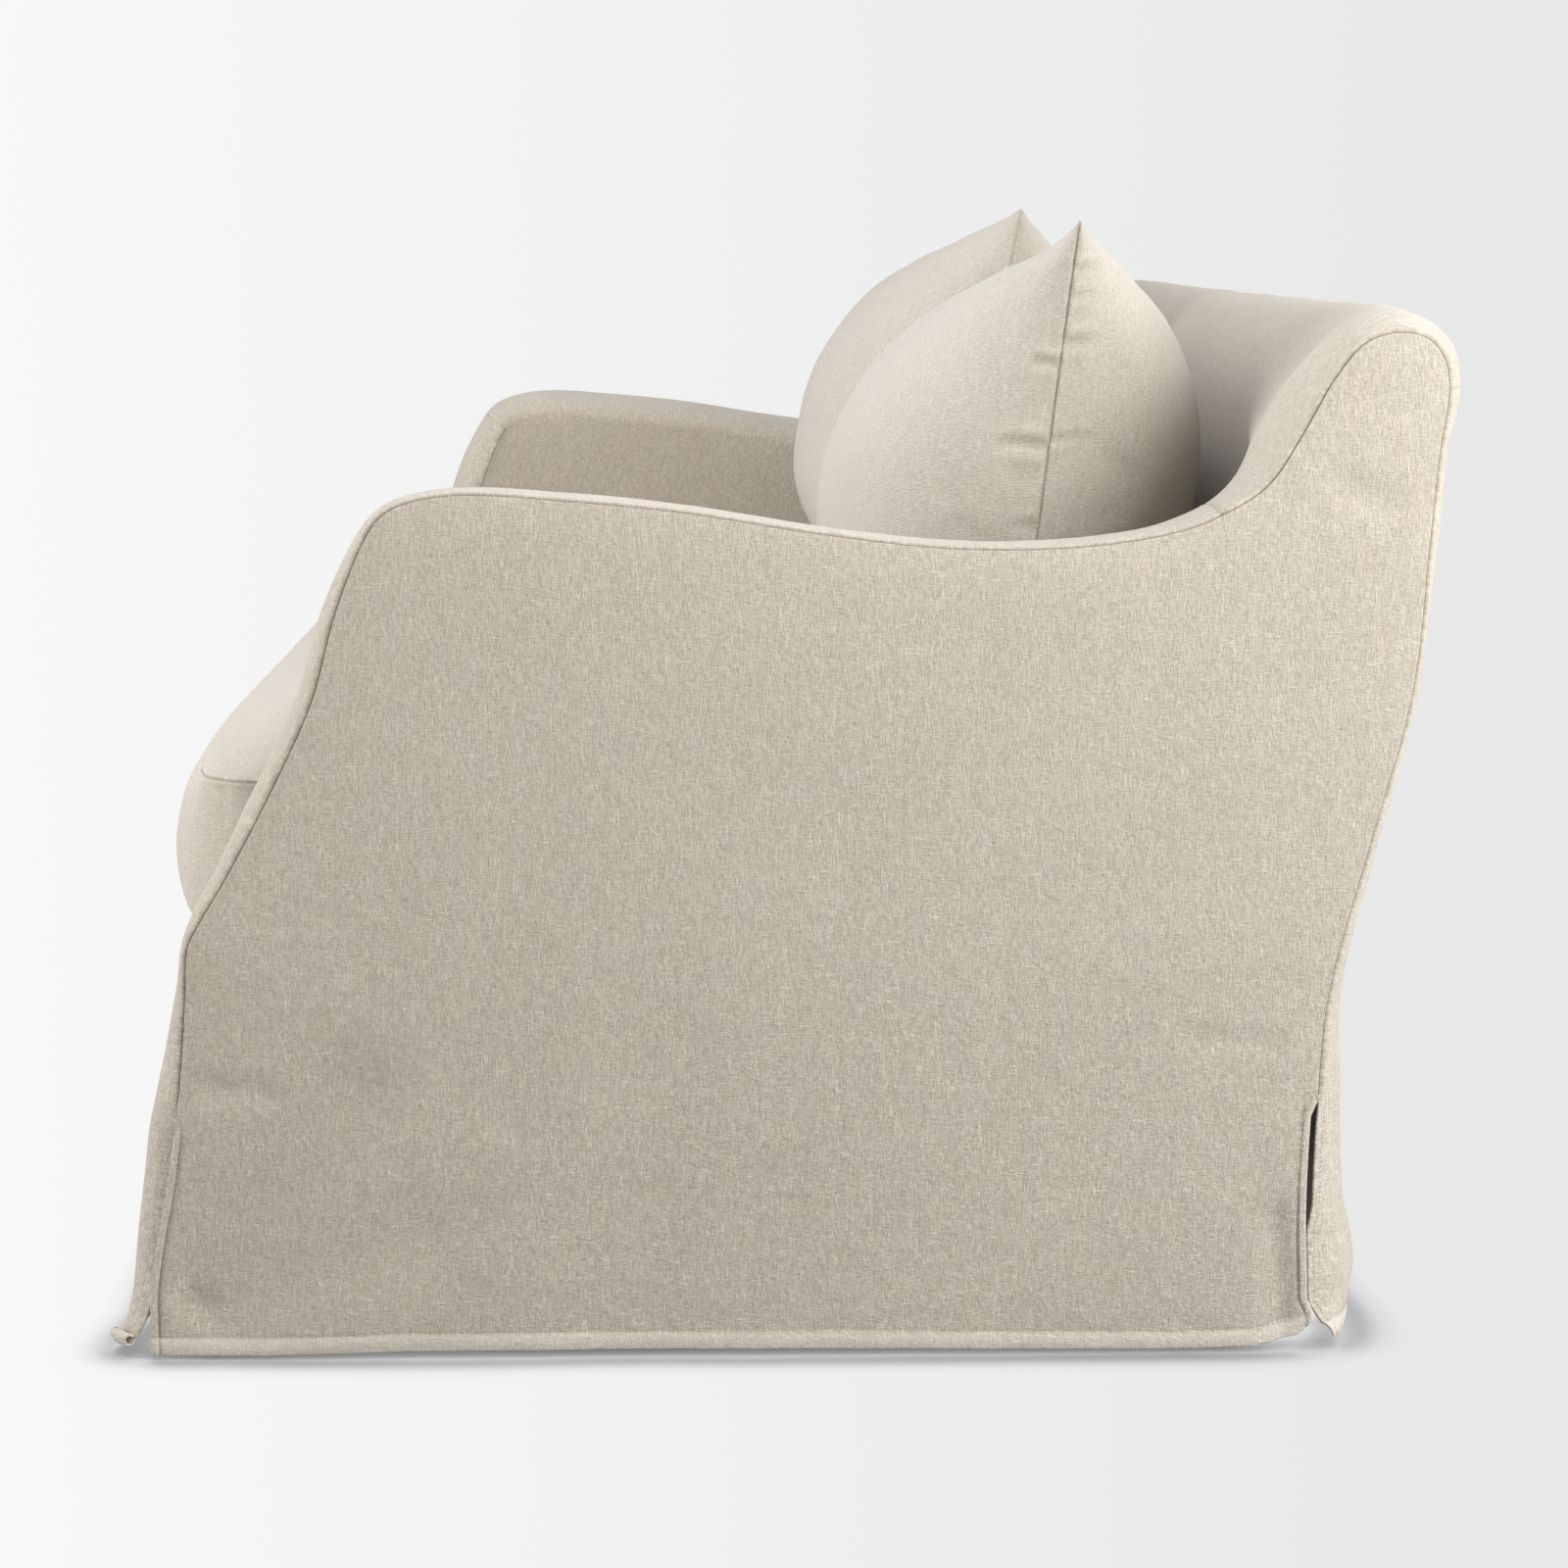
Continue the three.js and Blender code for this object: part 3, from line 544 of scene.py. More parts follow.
def curl_corner(grid, away, height):
    """The free corner of the front skirt rolls outward on itself at the hem."""
    start, radius = CURL["start"], CURL["radius"]
    amount = 1 - smooth((away - CURL["from"]) / CURL["wide"])
    angle = CURL["turns"] * amount
    wide = np.maximum(radius, start / np.maximum(angle, 1e-3))
    row = int(np.searchsorted(height[:, 0], start))
    pivot = grid[row : row + 1]
    below = height < height[row, 0]
    turned = angle * (1 - height / height[row, 0])
    rolled_y = pivot[..., 1] - np.minimum(wide, radius * 1.3) * (1 - np.cos(turned))
    rolled_z = pivot[..., 2] - wide * np.sin(turned)
    blend = smooth(amount * 5) * below
    grid[..., 1] = mix(grid[..., 1], rolled_y, blend)
    grid[..., 2] = mix(grid[..., 2], rolled_z, blend)
    return smooth(amount * 3)


def wall_lines(count, along):
    """The four edges of the arm's inner wall, as (y, z)."""
    top = Seam(along)
    edge = top.edge(top.inner)
    front = Seam(mix(MARK["armFrontTop"], MARK["deckFront"], count))
    front = front.edge(front.inner)
    rear = mix(edge[-1], np.array(DECK_REAR), count[:, None])
    part = (along - along[0]) / (along[-1] - along[0])
    deck = mix(front[-1], rear[-1], part[:, None])
    return edge, deck, front, rear, part


WALL_TALL = 0.38  # about how tall the arm's inner wall is


def inside_arm(s):
    seam = stretch("armFrontTop", "armBack", 0.0075)
    w = across_arm()
    offset = arm_offset(w[:, None], seam.crest[None, :], seam.inner[None, :])
    over = seam.points(s * (HALF_LENGTH - ARM_WIDTH * w)[None, :], offset.T)
    shade = strip_groove(over, seam, s, w, np.ones(len(seam.s)))
    down = graded(WALL_TALL, 0.0095, (0,), NEAR_SEAM) / WALL_TALL
    edge, deck_edge, front, rear, part = wall_lines(down, seam.s)
    wall = coons(edge, deck_edge, front, rear, part, down)[1:]
    x = np.full(wall.shape[:2] + (1,), s * ARM_INNER)
    grid = np.concatenate([over.transpose(1, 0, 2), np.concatenate([x, wall], axis=-1)])
    down_length = row_lengths(grid, 0)
    uv = np.stack([np.broadcast_to(seam.s[None, :], down_length.shape), down_length], axis=-1)
    cloth = Cloth(grid, uv, (-s, 0, 0.2))
    cloth.shade[: len(w)] = shade.T
    soft(cloth, seed=31 + s)
    cloth.sew(1, False)
    cloth.sew(1, True)
    cloth.sew(0, True)
    return cloth


def seat_columns(step=0.0105, near=NEAR_SEAM):
    return ARM_INNER - graded(2 * ARM_INNER, step, near, near)


def front_apron():
    seam = stretch("frontHem", "deckFront", 0.0075, NEAR_HEM, NEAR_SEAM)
    x = seat_columns()[None, :]
    ripple = HEM_RIPPLE * np.sin(x / 0.130) * clamp(1 - seam.z / 0.260)[:, None]
    below_top = smooth((seam.s[-1] - seam.s) / 0.045)[:, None]
    stand = mix(seam.inner[:, None], 0.85 * seam.crest[:, None] + ripple, below_top)
    rise = 1 - np.exp(-(ARM_INNER - abs(x)) / 0.030)
    grid = seam.points(x, mix(seam.inner[:, None], stand, rise))
    along = np.broadcast_to(seam.s[:, None], grid.shape[:2])
    cloth = Cloth(grid, np.stack([grid[..., 0], along], axis=-1), (0, -1, 0))
    soft(cloth, broad=0.0018, seed=41)
    cloth.turn_hem(along - along[0, 0])
    cloth.sew(1, False, PLAIN_SEAM)
    cloth.sew(1, True, PLAIN_SEAM)
    cloth.sew(0, True)
    return cloth


DECK_DEPTH = 0.79  # about, to share out rows


def deck():
    part = graded(DECK_DEPTH, 0.014, NEAR_EDGE, NEAR_EDGE) / DECK_DEPTH
    along = mix(MARK["armFrontTop"], MARK["armBack"], part)
    edge = wall_lines(np.linspace(0, 1, 20), along)[1]
    x = seat_columns(0.0165, NEAR_EDGE)
    grid = np.zeros((len(part), len(x), 3))
    grid[..., 0] = x[None, :]
    grid[..., 1], grid[..., 2] = edge[:, :1], edge[:, 1:]
    cloth = Cloth(grid, grid[..., :2].copy(), (0, 0, 1))
    soft(cloth, fine=0.0003, broad=0.0, seed=51)
    return cloth


# Rows of the inside back: up its wall to the arm's end, up the wings, and over to its rear seam.
WALL_STEPS = 8
WING_STEPS = 7
OVER_STEPS = 2
NECK_ROW = 3
BACK_WALL, BACK_TALL = 0.37, 0.80  # about how tall, to share out rows


def back_columns():
    wing = HALF_LENGTH - ARM_WIDTH * across_arm()[:-1]
    return np.concatenate([wing, seat_columns(near=(0, 0.004, 0.009)), -wing[::-1]])


def wing_sink(x):
    """How far the cloth has sunk from a wing's inner edge to the back between the wings."""
    part = clamp((ARM_INNER - abs(x)) / WING_REACH)
    return mix(part, smooth(part), 0.5)


def head_lift(x, rows=WING_STEPS + OVER_STEPS):
    """The wadding over the back's top rail fills out between the wings."""
    reach = 1 - np.exp(-(HALF_LENGTH - abs(x)) / 0.045)
    return HEAD_LIFT * reach * smooth((np.asarray(rows, float) - 3.5) / 3.0)


def wing_place(row):
    """Distance along the seam at a row of the inside back, counted from where the arm ends."""
    wing = mix(MARK["armBack"], MARK["rearCorner"], row / WING_STEPS)
    over = mix(MARK["rearCorner"], MARK["backTop"], (row - WING_STEPS) / OVER_STEPS)
    return np.where(row <= WING_STEPS, wing, over)


def seam_edge(row):
    """y and z of the cloth's crest at one row of the inside back."""
    at = Seam([wing_place(np.array(float(row)))])
    return at.edge(at.crest)[0]


def back_line(row):
    """y and z of the back between its wings, at a whole row."""
    foot, knee, neck, head = (np.array(p) for p in (DECK_REAR, BACK_KNEE, BACK_NECK, BACK_HEAD))
    if row <= 0:
        return mix(foot, knee, 1 + row / WALL_STEPS)
    if row <= NECK_ROW:
        return mix(knee, neck, row / NECK_ROW)
    if row >= WING_STEPS:
        return seam_edge(row)
    t = (row - NECK_ROW) / (WING_STEPS - NECK_ROW)
    return (1 - t) ** 2 * neck + 2 * t * (1 - t) * head + t**2 * seam_edge(WING_STEPS)


def inside_back():
    lower = graded(BACK_WALL, 0.0095, NEAR_SEAM, (0,)) / BACK_WALL * WALL_STEPS - WALL_STEPS
    over_length = MARK["backTop"] - MARK["armBack"]
    upper = graded(over_length, 0.0072, (0,), NEAR_SEAM) / over_length
    rows = np.concatenate([lower, upper[1:] * (WING_STEPS + OVER_STEPS)])
    seam = Seam(wing_place(np.maximum(rows, 0)))
    crest, inner = seam.crest[:, None], seam.inner[:, None]
    corner = Seam([MARK["armBack"]])
    wall_part = clamp(1 + rows / WALL_STEPS)[:, None]
    on_wall = mix(np.array(DECK_REAR), corner.edge(corner.inner)[0], wall_part)
    over = smooth((rows - 3.2) / 2.6)[:, None]
    on_wings = smooth(rows / 2.5)[:, None]
    rolled = mix(inner, mix(crest + 0.28 * WING_ROLL, inner, over), on_wings)
    edge = np.where((rows <= 0)[:, None], on_wall, seam.edge(rolled[:, 0]))
    coarse = [back_line(row) for row in range(-WALL_STEPS, WING_STEPS + OVER_STEPS + 1)]
    inside = spline(coarse, rows + WALL_STEPS)
    x = back_columns()
    recess = smooth((ARM_INNER - abs(x)) / RECESS_REACH)
    sunk = mix(recess[None, :], wing_sink(x)[None, :], on_wings)
    flat = mix(edge[:, None], inside[:, None], sunk[..., None])
    lift = head_lift(x[None, :], rows[:, None])
    flat = flat + lift[..., None] * np.stack([seam.out_y, seam.out_z], axis=1)[:, None]
    x_table = np.broadcast_to(x[None, :, None], flat.shape[:2] + (1,))
    grid = np.concatenate([x_table, flat], axis=-1)

    wing = abs(x) > ARM_INNER + 1e-6
    across = (HALF_LENGTH - abs(x[None, wing])) / ARM_WIDTH
    roll = smooth(across / 0.6) * (1 - smooth((across - 0.5) / 0.8))
    full = crest * (1 - np.exp(-across * ARM_WIDTH / CREST_REACH)) + WING_ROLL * roll
    topped = arm_offset(across, crest, inner, 1.0)
    offset = mix(arm_offset(across, crest, inner), mix(full, topped, over), on_wings)
    grid[:, wing] = seam.points(x[None, wing], offset + lift[:, wing])
    shade = groove_sides(grid, seam, x, wing, (rows >= 0) * 1.0)
    along = row_lengths(grid[:, len(x) // 2 : len(x) // 2 + 1], 0)
    uv = np.stack([grid[..., 0], np.broadcast_to(along, grid.shape[:2])], axis=-1)
    cloth = Cloth(grid, uv, (0, -1, 0.3))
    cloth.shade = shade
    soft(cloth, broad=0.0009, fine=0.0005, seed=61, size=0.13)
    cloth.sew(0, False)
    cloth.sew(0, True)
    # On its wall the cloth reaches no further than the arms' inner walls.
    cloth.grid[np.ix_(rows < -1e-9, wing)] = np.nan
    return cloth

def outside_back():
    down = graded(BACK_TALL, 0.0080, NEAR_SEAM, NEAR_HEM) / BACK_TALL
    seam = Seam(mix(MARK["backTop"], MARK["rearHem"], down))
    x = back_columns()[None, :]
    from_edge = HALF_LENGTH - abs(x)
    crest, inner = seam.crest[:, None], seam.inner[:, None]
    settled = mix(crest, inner, smooth((from_edge - SETTLE_FROM) / SETTLE_OVER))
    ripple = HEM_RIPPLE * np.cos(x / 0.150) * clamp(1 - seam.z / 0.3)[:, None]
    ripple = ripple * clamp(from_edge / 0.1)
    hanging = (settled + ripple) * (1 - np.exp(-from_edge / EDGE_RISE))
    over_wing = arm_offset(clamp(from_edge / ARM_WIDTH), crest[:1], inner[:1], 1.0)
    sunk = wing_sink(x)
    top = np.where(abs(x) > ARM_INNER, over_wing, mix(inner[:1], crest[:1], sunk)) + head_lift(x)
    offset = mix(top, hanging, smooth((seam.s - seam.s[0]) / TOP_OVER)[:, None])
    # Its free edge tucks in behind the side panel, then turns out at the hem.
    z = seam.z[:, None]
    tuck = REAR_VENT["tuck"] * smooth((0.125 - z) / 0.03) * smooth((z - 0.028) / 0.015)
    turned_out = REAR_VENT["turned_out"] * smooth((0.036 - z) / 0.028)
    offset = offset + (turned_out - tuck) * np.exp(-from_edge / 0.010)
    grid = seam.points(x, offset)
    free = smooth((REAR_VENT["top"] - seam.z) / VENT_FADE)
    shade = groove_sides(grid, seam, x[0], from_edge[0] < 0.03, 1 - free)
    along = np.broadcast_to(seam.s[:, None], grid.shape[:2])
    cloth = Cloth(grid, np.stack([grid[..., 0], -along], axis=-1), (0, 1, 0))
    cloth.shade = shade
    soft(cloth, broad=0.0007, fine=0.0004, seed=71)
    cloth.turn_hem(along[-1, 0] - along)
    cloth.sew(0, False)
    return cloth


# ---- meshes from tables

def mark_points(mesh, name, values):
    marks = mesh.attributes.get(name) or mesh.attributes.new(name, "FLOAT", "POINT")
    marks.data.foreach_set("value", np.ascontiguousarray(values, dtype=np.float32))


def make_object(name, points, cells):
    mesh = bpy.data.meshes.new(name)
    mesh.from_pydata(points.tolist(), [], cells)
    mesh.update()
    piece = bpy.data.objects.new(name, mesh)
    scene.collection.objects.link(piece)
    return piece


def make_cloth(name, points, cells, uv_of_corner, shade, pale):
    """A smooth mesh with the marks that the linen reads."""
    piece = make_object(name, points, cells.tolist())
    mesh = piece.data
    layer = mesh.uv_layers.new(name="cloth")
    layer.data.foreach_set("uv", np.ascontiguousarray(uv_of_corner, dtype=np.float32).ravel())
    mark_points(mesh, "seam_shade", shade)
    mark_points(mesh, "wear_and_painted_highlight", pale)
    mesh.polygons.foreach_set("use_smooth", np.ones(len(mesh.polygons), bool))
    mesh.update()
    return piece


def apply_modifiers(piece):
    bpy.ops.object.select_all(action="DESELECT")
    piece.select_set(True)
    bpy.context.view_layer.objects.active = piece
    for modifier in list(piece.modifiers):
        bpy.ops.object.modifier_apply(modifier=modifier.name)


def quads(table):
    """The four-sided cells between the points that a table numbers."""
    corners = table[:-1, :-1], table[:-1, 1:], table[1:, 1:], table[1:, :-1]
    return np.stack(corners, axis=-1).reshape(-1, 4)


def numbered(rows, columns):
    return np.arange(rows * columns).reshape(rows, columns)


def rim_of(table):
    """The numbers around a table's edge, in order."""
    return np.concatenate([table[0, :-1], table[:-1, -1], table[-1, :0:-1], table[:0:-1, 0]])


def make_sheet(name, cloth):
    """A thin closed sheet, its outer face on the cloth's table."""
    flat = cloth.grid.reshape(-1, 3)
    kept = ~np.isnan(flat[:, 0])
    index = np.full(len(flat), -1)
    index[kept] = np.arange(kept.sum())
    cells = quads(index.reshape(cloth.grid.shape[:2]).T)
    cells = cells[(cells >= 0).all(axis=1)]
    points = flat[kept]
    middle = cells[len(cells) // 2]
    a, b, c, d = points[middle]
    if np.cross(c - a, d - b) @ cloth.normals.reshape(-1, 3)[kept][middle[0]] < 0:
        cells = cells[:, ::-1]
    uv = cloth.uv.reshape(-1, 2)[kept]
    outer_shade, pale = cloth.shade.ravel()[kept], cloth.pale.ravel()[kept]
    piece = make_cloth(name, points, cells, uv[cells.ravel()], outer_shade, pale)
    thick = piece.modifiers.new("thickness", "SOLIDIFY")
    thick.thickness = CLOTH
    thick.offset = -1
    thick.use_even_offset = False
    apply_modifiers(piece)
    # The inner face gets painted shade.
    shade = np.full(len(piece.data.vertices), INNER_SHADE)
    shade[: len(points)] = outer_shade
    mark_points(piece.data, "seam_shade", shade)
    return piece


def stitches(name, lines):
    """Short raised threads laid in rows; each line is (points, outward normals)."""
    points, faces = [], []
    for path, outward in lines:
        length = np.concatenate([[0], np.cumsum(np.linalg.norm(np.diff(path, axis=0), axis=1))])
        read = lambda table, at: np.array([np.interp(at, length, table[:, i]) for i in range(3)])
        for start in np.arange(0.002, length[-1] - STITCH["length"], STITCH["pitch"]):
            middle = read(path, start + STITCH["length"] / 2)
            along = unit(read(path, start + STITCH["length"]) - read(path, start))
            up = unit(read(outward, start))
            side = np.cross(along, up)
            base = len(points)
            half, lift = STITCH["length"] / 2, STITCH["proud"]
            points.append(middle - along * half)
            for end in (-0.55, 0.55):
                for across, over in ((-1, 0), (0, 1), (1, 0), (0, -1)):
                    points.append(middle + along * half * end + side * STITCH["half"] * across
                                  + up * (STITCH["half"] * over + lift))
            points.append(middle + along * half)
            for i in range(4):
                j = (i + 1) % 4
                faces += [(base, base + 1 + i, base + 1 + j),
                          (base + 1 + i, base + 5 + i, base + 5 + j, base + 1 + j),
                          (base + 9, base + 5 + j, base + 5 + i)]
    return make_object(name, np.array(points), faces)


# ---- filled cushions

SEAT = {
    "end": 0.779, "front": -0.470, "bow": 0.029, "rear": 0.306, "top": 0.452, "bottom": 0.308,
    "rest": 0.3005, "crown": 0.052, "boxing": 0.022, "corner": 0.046, "turn": 0.110,
    "cap": 0.008, "seam": (0.0011, 0.42), "seed": 91,
}
# Each back cushion's seam ends as (y, z), and each face's swell and how it tapers to its top.
PILLOWS = {
    1: {"outer": (0.253, 0.914), "inner": (0.262, 0.873), "dip": 0.014,
        "front": (0.166, 0.8), "rear": (0.158, 0.6), "seam": (0.0013, 0.42)},
    -1: {"outer": (0.262, 0.888), "inner": (0.278, 0.929), "dip": 0.008,
         "front": (0.168, 0.66), "rear": (0.156, 0.66), "seam": (0.0006, 0.10)},
}
PILLOW_FOOT = (0.203, 0.494)
PILLOW_ENDS = (0.014, 0.772)
PILLOW_WAIST = 0.014
PILLOW_CAP = 0.010
PRESSURE = 4.0
FRAMES = 20
SEAM_EASE = 0.085  # within this of a seam the filling moves the cloth less and less

# Puckers that run off a back cushion's end seam: height, length, half width, depth, face.
PUCKERS = {
    1: [(0.812, 0.036, 0.0055, 0.0030, -1), (0.795, 0.030, 0.0045, 0.0026, 1),
        (0.728, 0.052, 0.0055, 0.0030, 1), (0.733, 0.044, 0.0040, 0.0018, -1),
        (0.872, 0.026, 0.0045, 0.0018, -1), (0.850, 0.030, 0.0040, 0.0014, -1),
        (0.660, 0.030, 0.0050, 0.0014, 1)],
    -1: [(0.802, 0.036, 0.0055, 0.0028, -1), (0.760, 0.040, 0.0050, 0.0026, 1),
         (0.700, 0.044, 0.0050, 0.0022, 1), (0.845, 0.030, 0.0045, 0.0020, -1)],
}


def swollen_places(step, fine):
    t = graded(2.0, step, fine, fine) - 1
    return np.sin(t * math.pi / 2)


def pillow_face(s, shape, p, q, facing):
    inner, outer = PILLOW_ENDS
    half = (outer - inner) / 2 - PILLOW_WAIST * (1 - q**2)
    level = (q + 1) / 2
    part = (p + 1) / 2
    top_y = mix(shape["inner"][0], shape["outer"][0], part)
    top_z = mix(shape["inner"][1], shape["outer"][1], part) - shape["dip"] * (1 - p**4)
    full, taper = shape["front"] if facing > 0 else shape["rear"]
    plump = np.where(q > 0, clamp(1 - q**2) ** taper, clamp(1 - abs(q) ** 3.2) ** 0.6)
    depth = full * plump * np.sqrt(clamp(1 - abs(p) ** 3))
    y = mix(PILLOW_FOOT[0], top_y, level) - facing * depth
    z = mix(PILLOW_FOOT[1], top_z, level)
    return np.stack([s * ((inner + outer) / 2 + p * half), y, z], axis=-1)


def seam_gap(points, loops):
    """Distance of each point from the nearest of some closed loops of points."""
    near = np.full(len(points), 1e9)
    for loop in loops:
        for a, b in zip(loop, np.roll(loop, -1, axis=0)):
            t = clamp((points - a) @ (b - a) / max((b - a) @ (b - a), 1e-12))
            near = np.minimum(near, np.linalg.norm(points - a - t[:, None] * (b - a), axis=1))
    return near


def read_points(mesh, what="co"):
    values = np.zeros(len(mesh.vertices) * 3, np.float32)
    mesh.vertices.foreach_get(what, values)
    return values.reshape(-1, 3).astype(float)


def set_points(mesh, points):
    mesh.vertices.foreach_set("co", points.astype(np.float32).ravel())
    mesh.update()


def fill(piece, still, loops, cap):
    """Blows the cushion up a little as cloth held at its still points.

    How far it moves is capped, and eased off toward the seams.
    """
    start = read_points(piece.data)
    held = piece.vertex_groups.new(name="seam")
    held.add([int(i) for i in still], 1.0, "REPLACE")
    cloth = piece.modifiers.new("filling", "CLOTH")
    for key, value in {
        "quality": 6, "mass": 0.3, "tension_stiffness": 18, "compression_stiffness": 18,
        "shear_stiffness": 6, "bending_stiffness": 0.6, "use_pressure": True,
        "uniform_pressure_force": PRESSURE, "shrink_min": -0.012, "vertex_group_mass": "seam",
    }.items():
        setattr(cloth.settings, key, value)
    cloth.settings.effector_weights.gravity = 0
    cloth.collision_settings.use_collision = False
    cloth.point_cache.frame_start, cloth.point_cache.frame_end = 1, FRAMES
    for number in range(1, FRAMES + 1):
        scene.frame_set(number)
    apply_modifiers(piece)
    scene.frame_set(1)
    moved = read_points(piece.data) - start
    far = np.linalg.norm(moved, axis=1, keepdims=True)
    moved *= cap * np.tanh(far / cap) / np.maximum(far, 1e-9)
    moved *= smooth(seam_gap(start, [start[loop] for loop in loops]) / SEAM_EASE)[:, None]
    set_points(piece.data, start + moved)
    piece.vertex_groups.clear()


def refine(piece, loops):
    """One subdivision that keeps the seams sharp."""
    mesh = piece.data
    sewn = {frozenset(pair) for loop in loops
            for pair in zip(loop.tolist(), np.roll(loop, -1).tolist())}
    crease = mesh.attributes.new("crease_edge", "FLOAT", "EDGE")
    sharp = [1.0 if frozenset(edge.vertices) in sewn else 0.0 for edge in mesh.edges]
    crease.data.foreach_set("value", sharp)
    piece.modifiers.new("finer", "SUBSURF").levels = 1
    apply_modifiers(piece)


def press_seams(piece, loops, puckers, seed, groove, dark):
    """Sewn lines and the small gathers beside them, after the filling."""
    mesh = piece.data
    points, normals = read_points(mesh), read_points(mesh, "normal")
    near = seam_gap(points, [points[loop] for loop in loops])
    line = bell(near, 0.0011)
    x, y, z = points.T
    gathers = lumps(x + 0.6 * y, z, 0.017, seed) * np.exp(-near / 0.020) * smooth(near / 0.004)
    move = seam_ridge(near, 0.0005) - groove * line + 0.0011 * gathers
    move += 0.0020 * lumps(x, z + y, 0.12, seed + 2) * smooth(near / 0.05)
    move += puckers(points, near)
    set_points(mesh, points + normals * move[:, None])
    # Painted shade along the seam's groove.
    mark_points(mesh, "seam_shade", dark * line)


def make_cushion(name, points, cells, uv, still, loops, cap, puckers, seed, seam):
    piece = make_cloth(name, points, cells, uv, *np.zeros((2, len(points))))
    fill(piece, still, loops, cap)
    refine(piece, loops)
    press_seams(piece, loops, puckers, seed, *seam)
    return piece


def back_cushion(s, end):
    shape = PILLOWS[s]
    p = swollen_places(0.0215, (0, 0.004, 0.008, 0.013, 0.019, 0.028, 0.040, 0.056))
    q = swollen_places(0.0230, (0, 0.02, 0.04, 0.06))
    across, up = len(p), len(q)
    p2, q2 = np.meshgrid(p, q)
    front, rear = (pillow_face(s, shape, p2, q2, facing) for facing in (1, -1))
    points = np.concatenate([front.reshape(-1, 3), rear[1:-1, 1:-1].reshape(-1, 3)])
    table = numbered(up, across)
    rear_table = table.copy()
    rear_table[1:-1, 1:-1] = up * across + numbered(up - 2, across - 2)
    up_middle = row_lengths(front[:, across // 2 : across // 2 + 1], 0) + 0 * p2

    def weave_of(face, way):
        lengths = row_lengths(face, 1)
        return np.stack([way * (lengths[:, -1:] - lengths), up_middle], axis=-1).reshape(-1, 2)

    def faced(numbers, way):
        return quads(numbers)[:, :: way * s]

    cells = np.concatenate([faced(table, 1), faced(rear_table, -1)])
    uv = np.concatenate([weave_of(face, way)[faced(table, way).ravel()]
                         for face, way in ((front, 1), (rear, -1))])

    def puckers(points, near):
        x, y, z = points.T
        outer = smooth((s * x - 0.60) / 0.06)
        top_y, top_z = shape["outer"]
        seam_y = mix(PILLOW_FOOT[0], top_y, (z - PILLOW_FOOT[1]) / (top_z - PILLOW_FOOT[1]))
        move = np.zeros(len(points))
        for height, length, half, depth, face in PUCKERS[s]:
            away = -face * (y - seam_y)
            along = smooth(away / 0.004) * (1 - smooth((away - 0.35 * length) / (0.65 * length)))
            rise = z - height - 0.0035 * np.sin(away / length * 2.6)
            folds = (bell(rise, 0.8 * half) - 0.75 * bell(rise - 1.8 * half, half)
                     - 0.4 * bell(rise + 2 * half, half))
            move -= depth * along * outer * folds
        return move

    loop = rim_of(table)
    return make_cushion("back_cushion_cover_" + end, points, cells, uv, loop, [loop],
                        PILLOW_CAP, puckers, 81 + s, shape["seam"])


def domed(t):
    return np.sqrt(clamp(1 - t**6))


def seat_plan(p, q, level):
    """x and y on the seat cushion: p along it, q across it, level up its boxing."""
    reach, depth, r = SEAT["end"], (SEAT["rear"] - SEAT["front"]) / 2, SEAT["corner"]
    middle = (SEAT["rear"] + SEAT["front"]) / 2
    corner = clamp((abs(p) * reach - reach + SEAT["turn"]) / SEAT["turn"])
    belly = (1 - level**4) * (1 - corner**2) ** 1.6
    bow = np.where(q < 0, SEAT["bow"] * q**4 * (1 - p**6), 0)
    x = p * reach
    y = middle + q * depth - bow - np.where(q <= -1 + 1e-9, SEAT["boxing"] * belly, 0)
    # The plan's corners are rounded.
    a = clamp((abs(x) - reach + r) / r)
    b = clamp(np.maximum((y - SEAT["rear"] + r) / r, (SEAT["front"] + r - y) / r))
    x = np.sign(x) * (abs(x) - r * a * (1 - np.sqrt(1 - b**2 / 2)))
    return x, y - np.sign(q) * r * b * (1 - np.sqrt(1 - a**2 / 2))


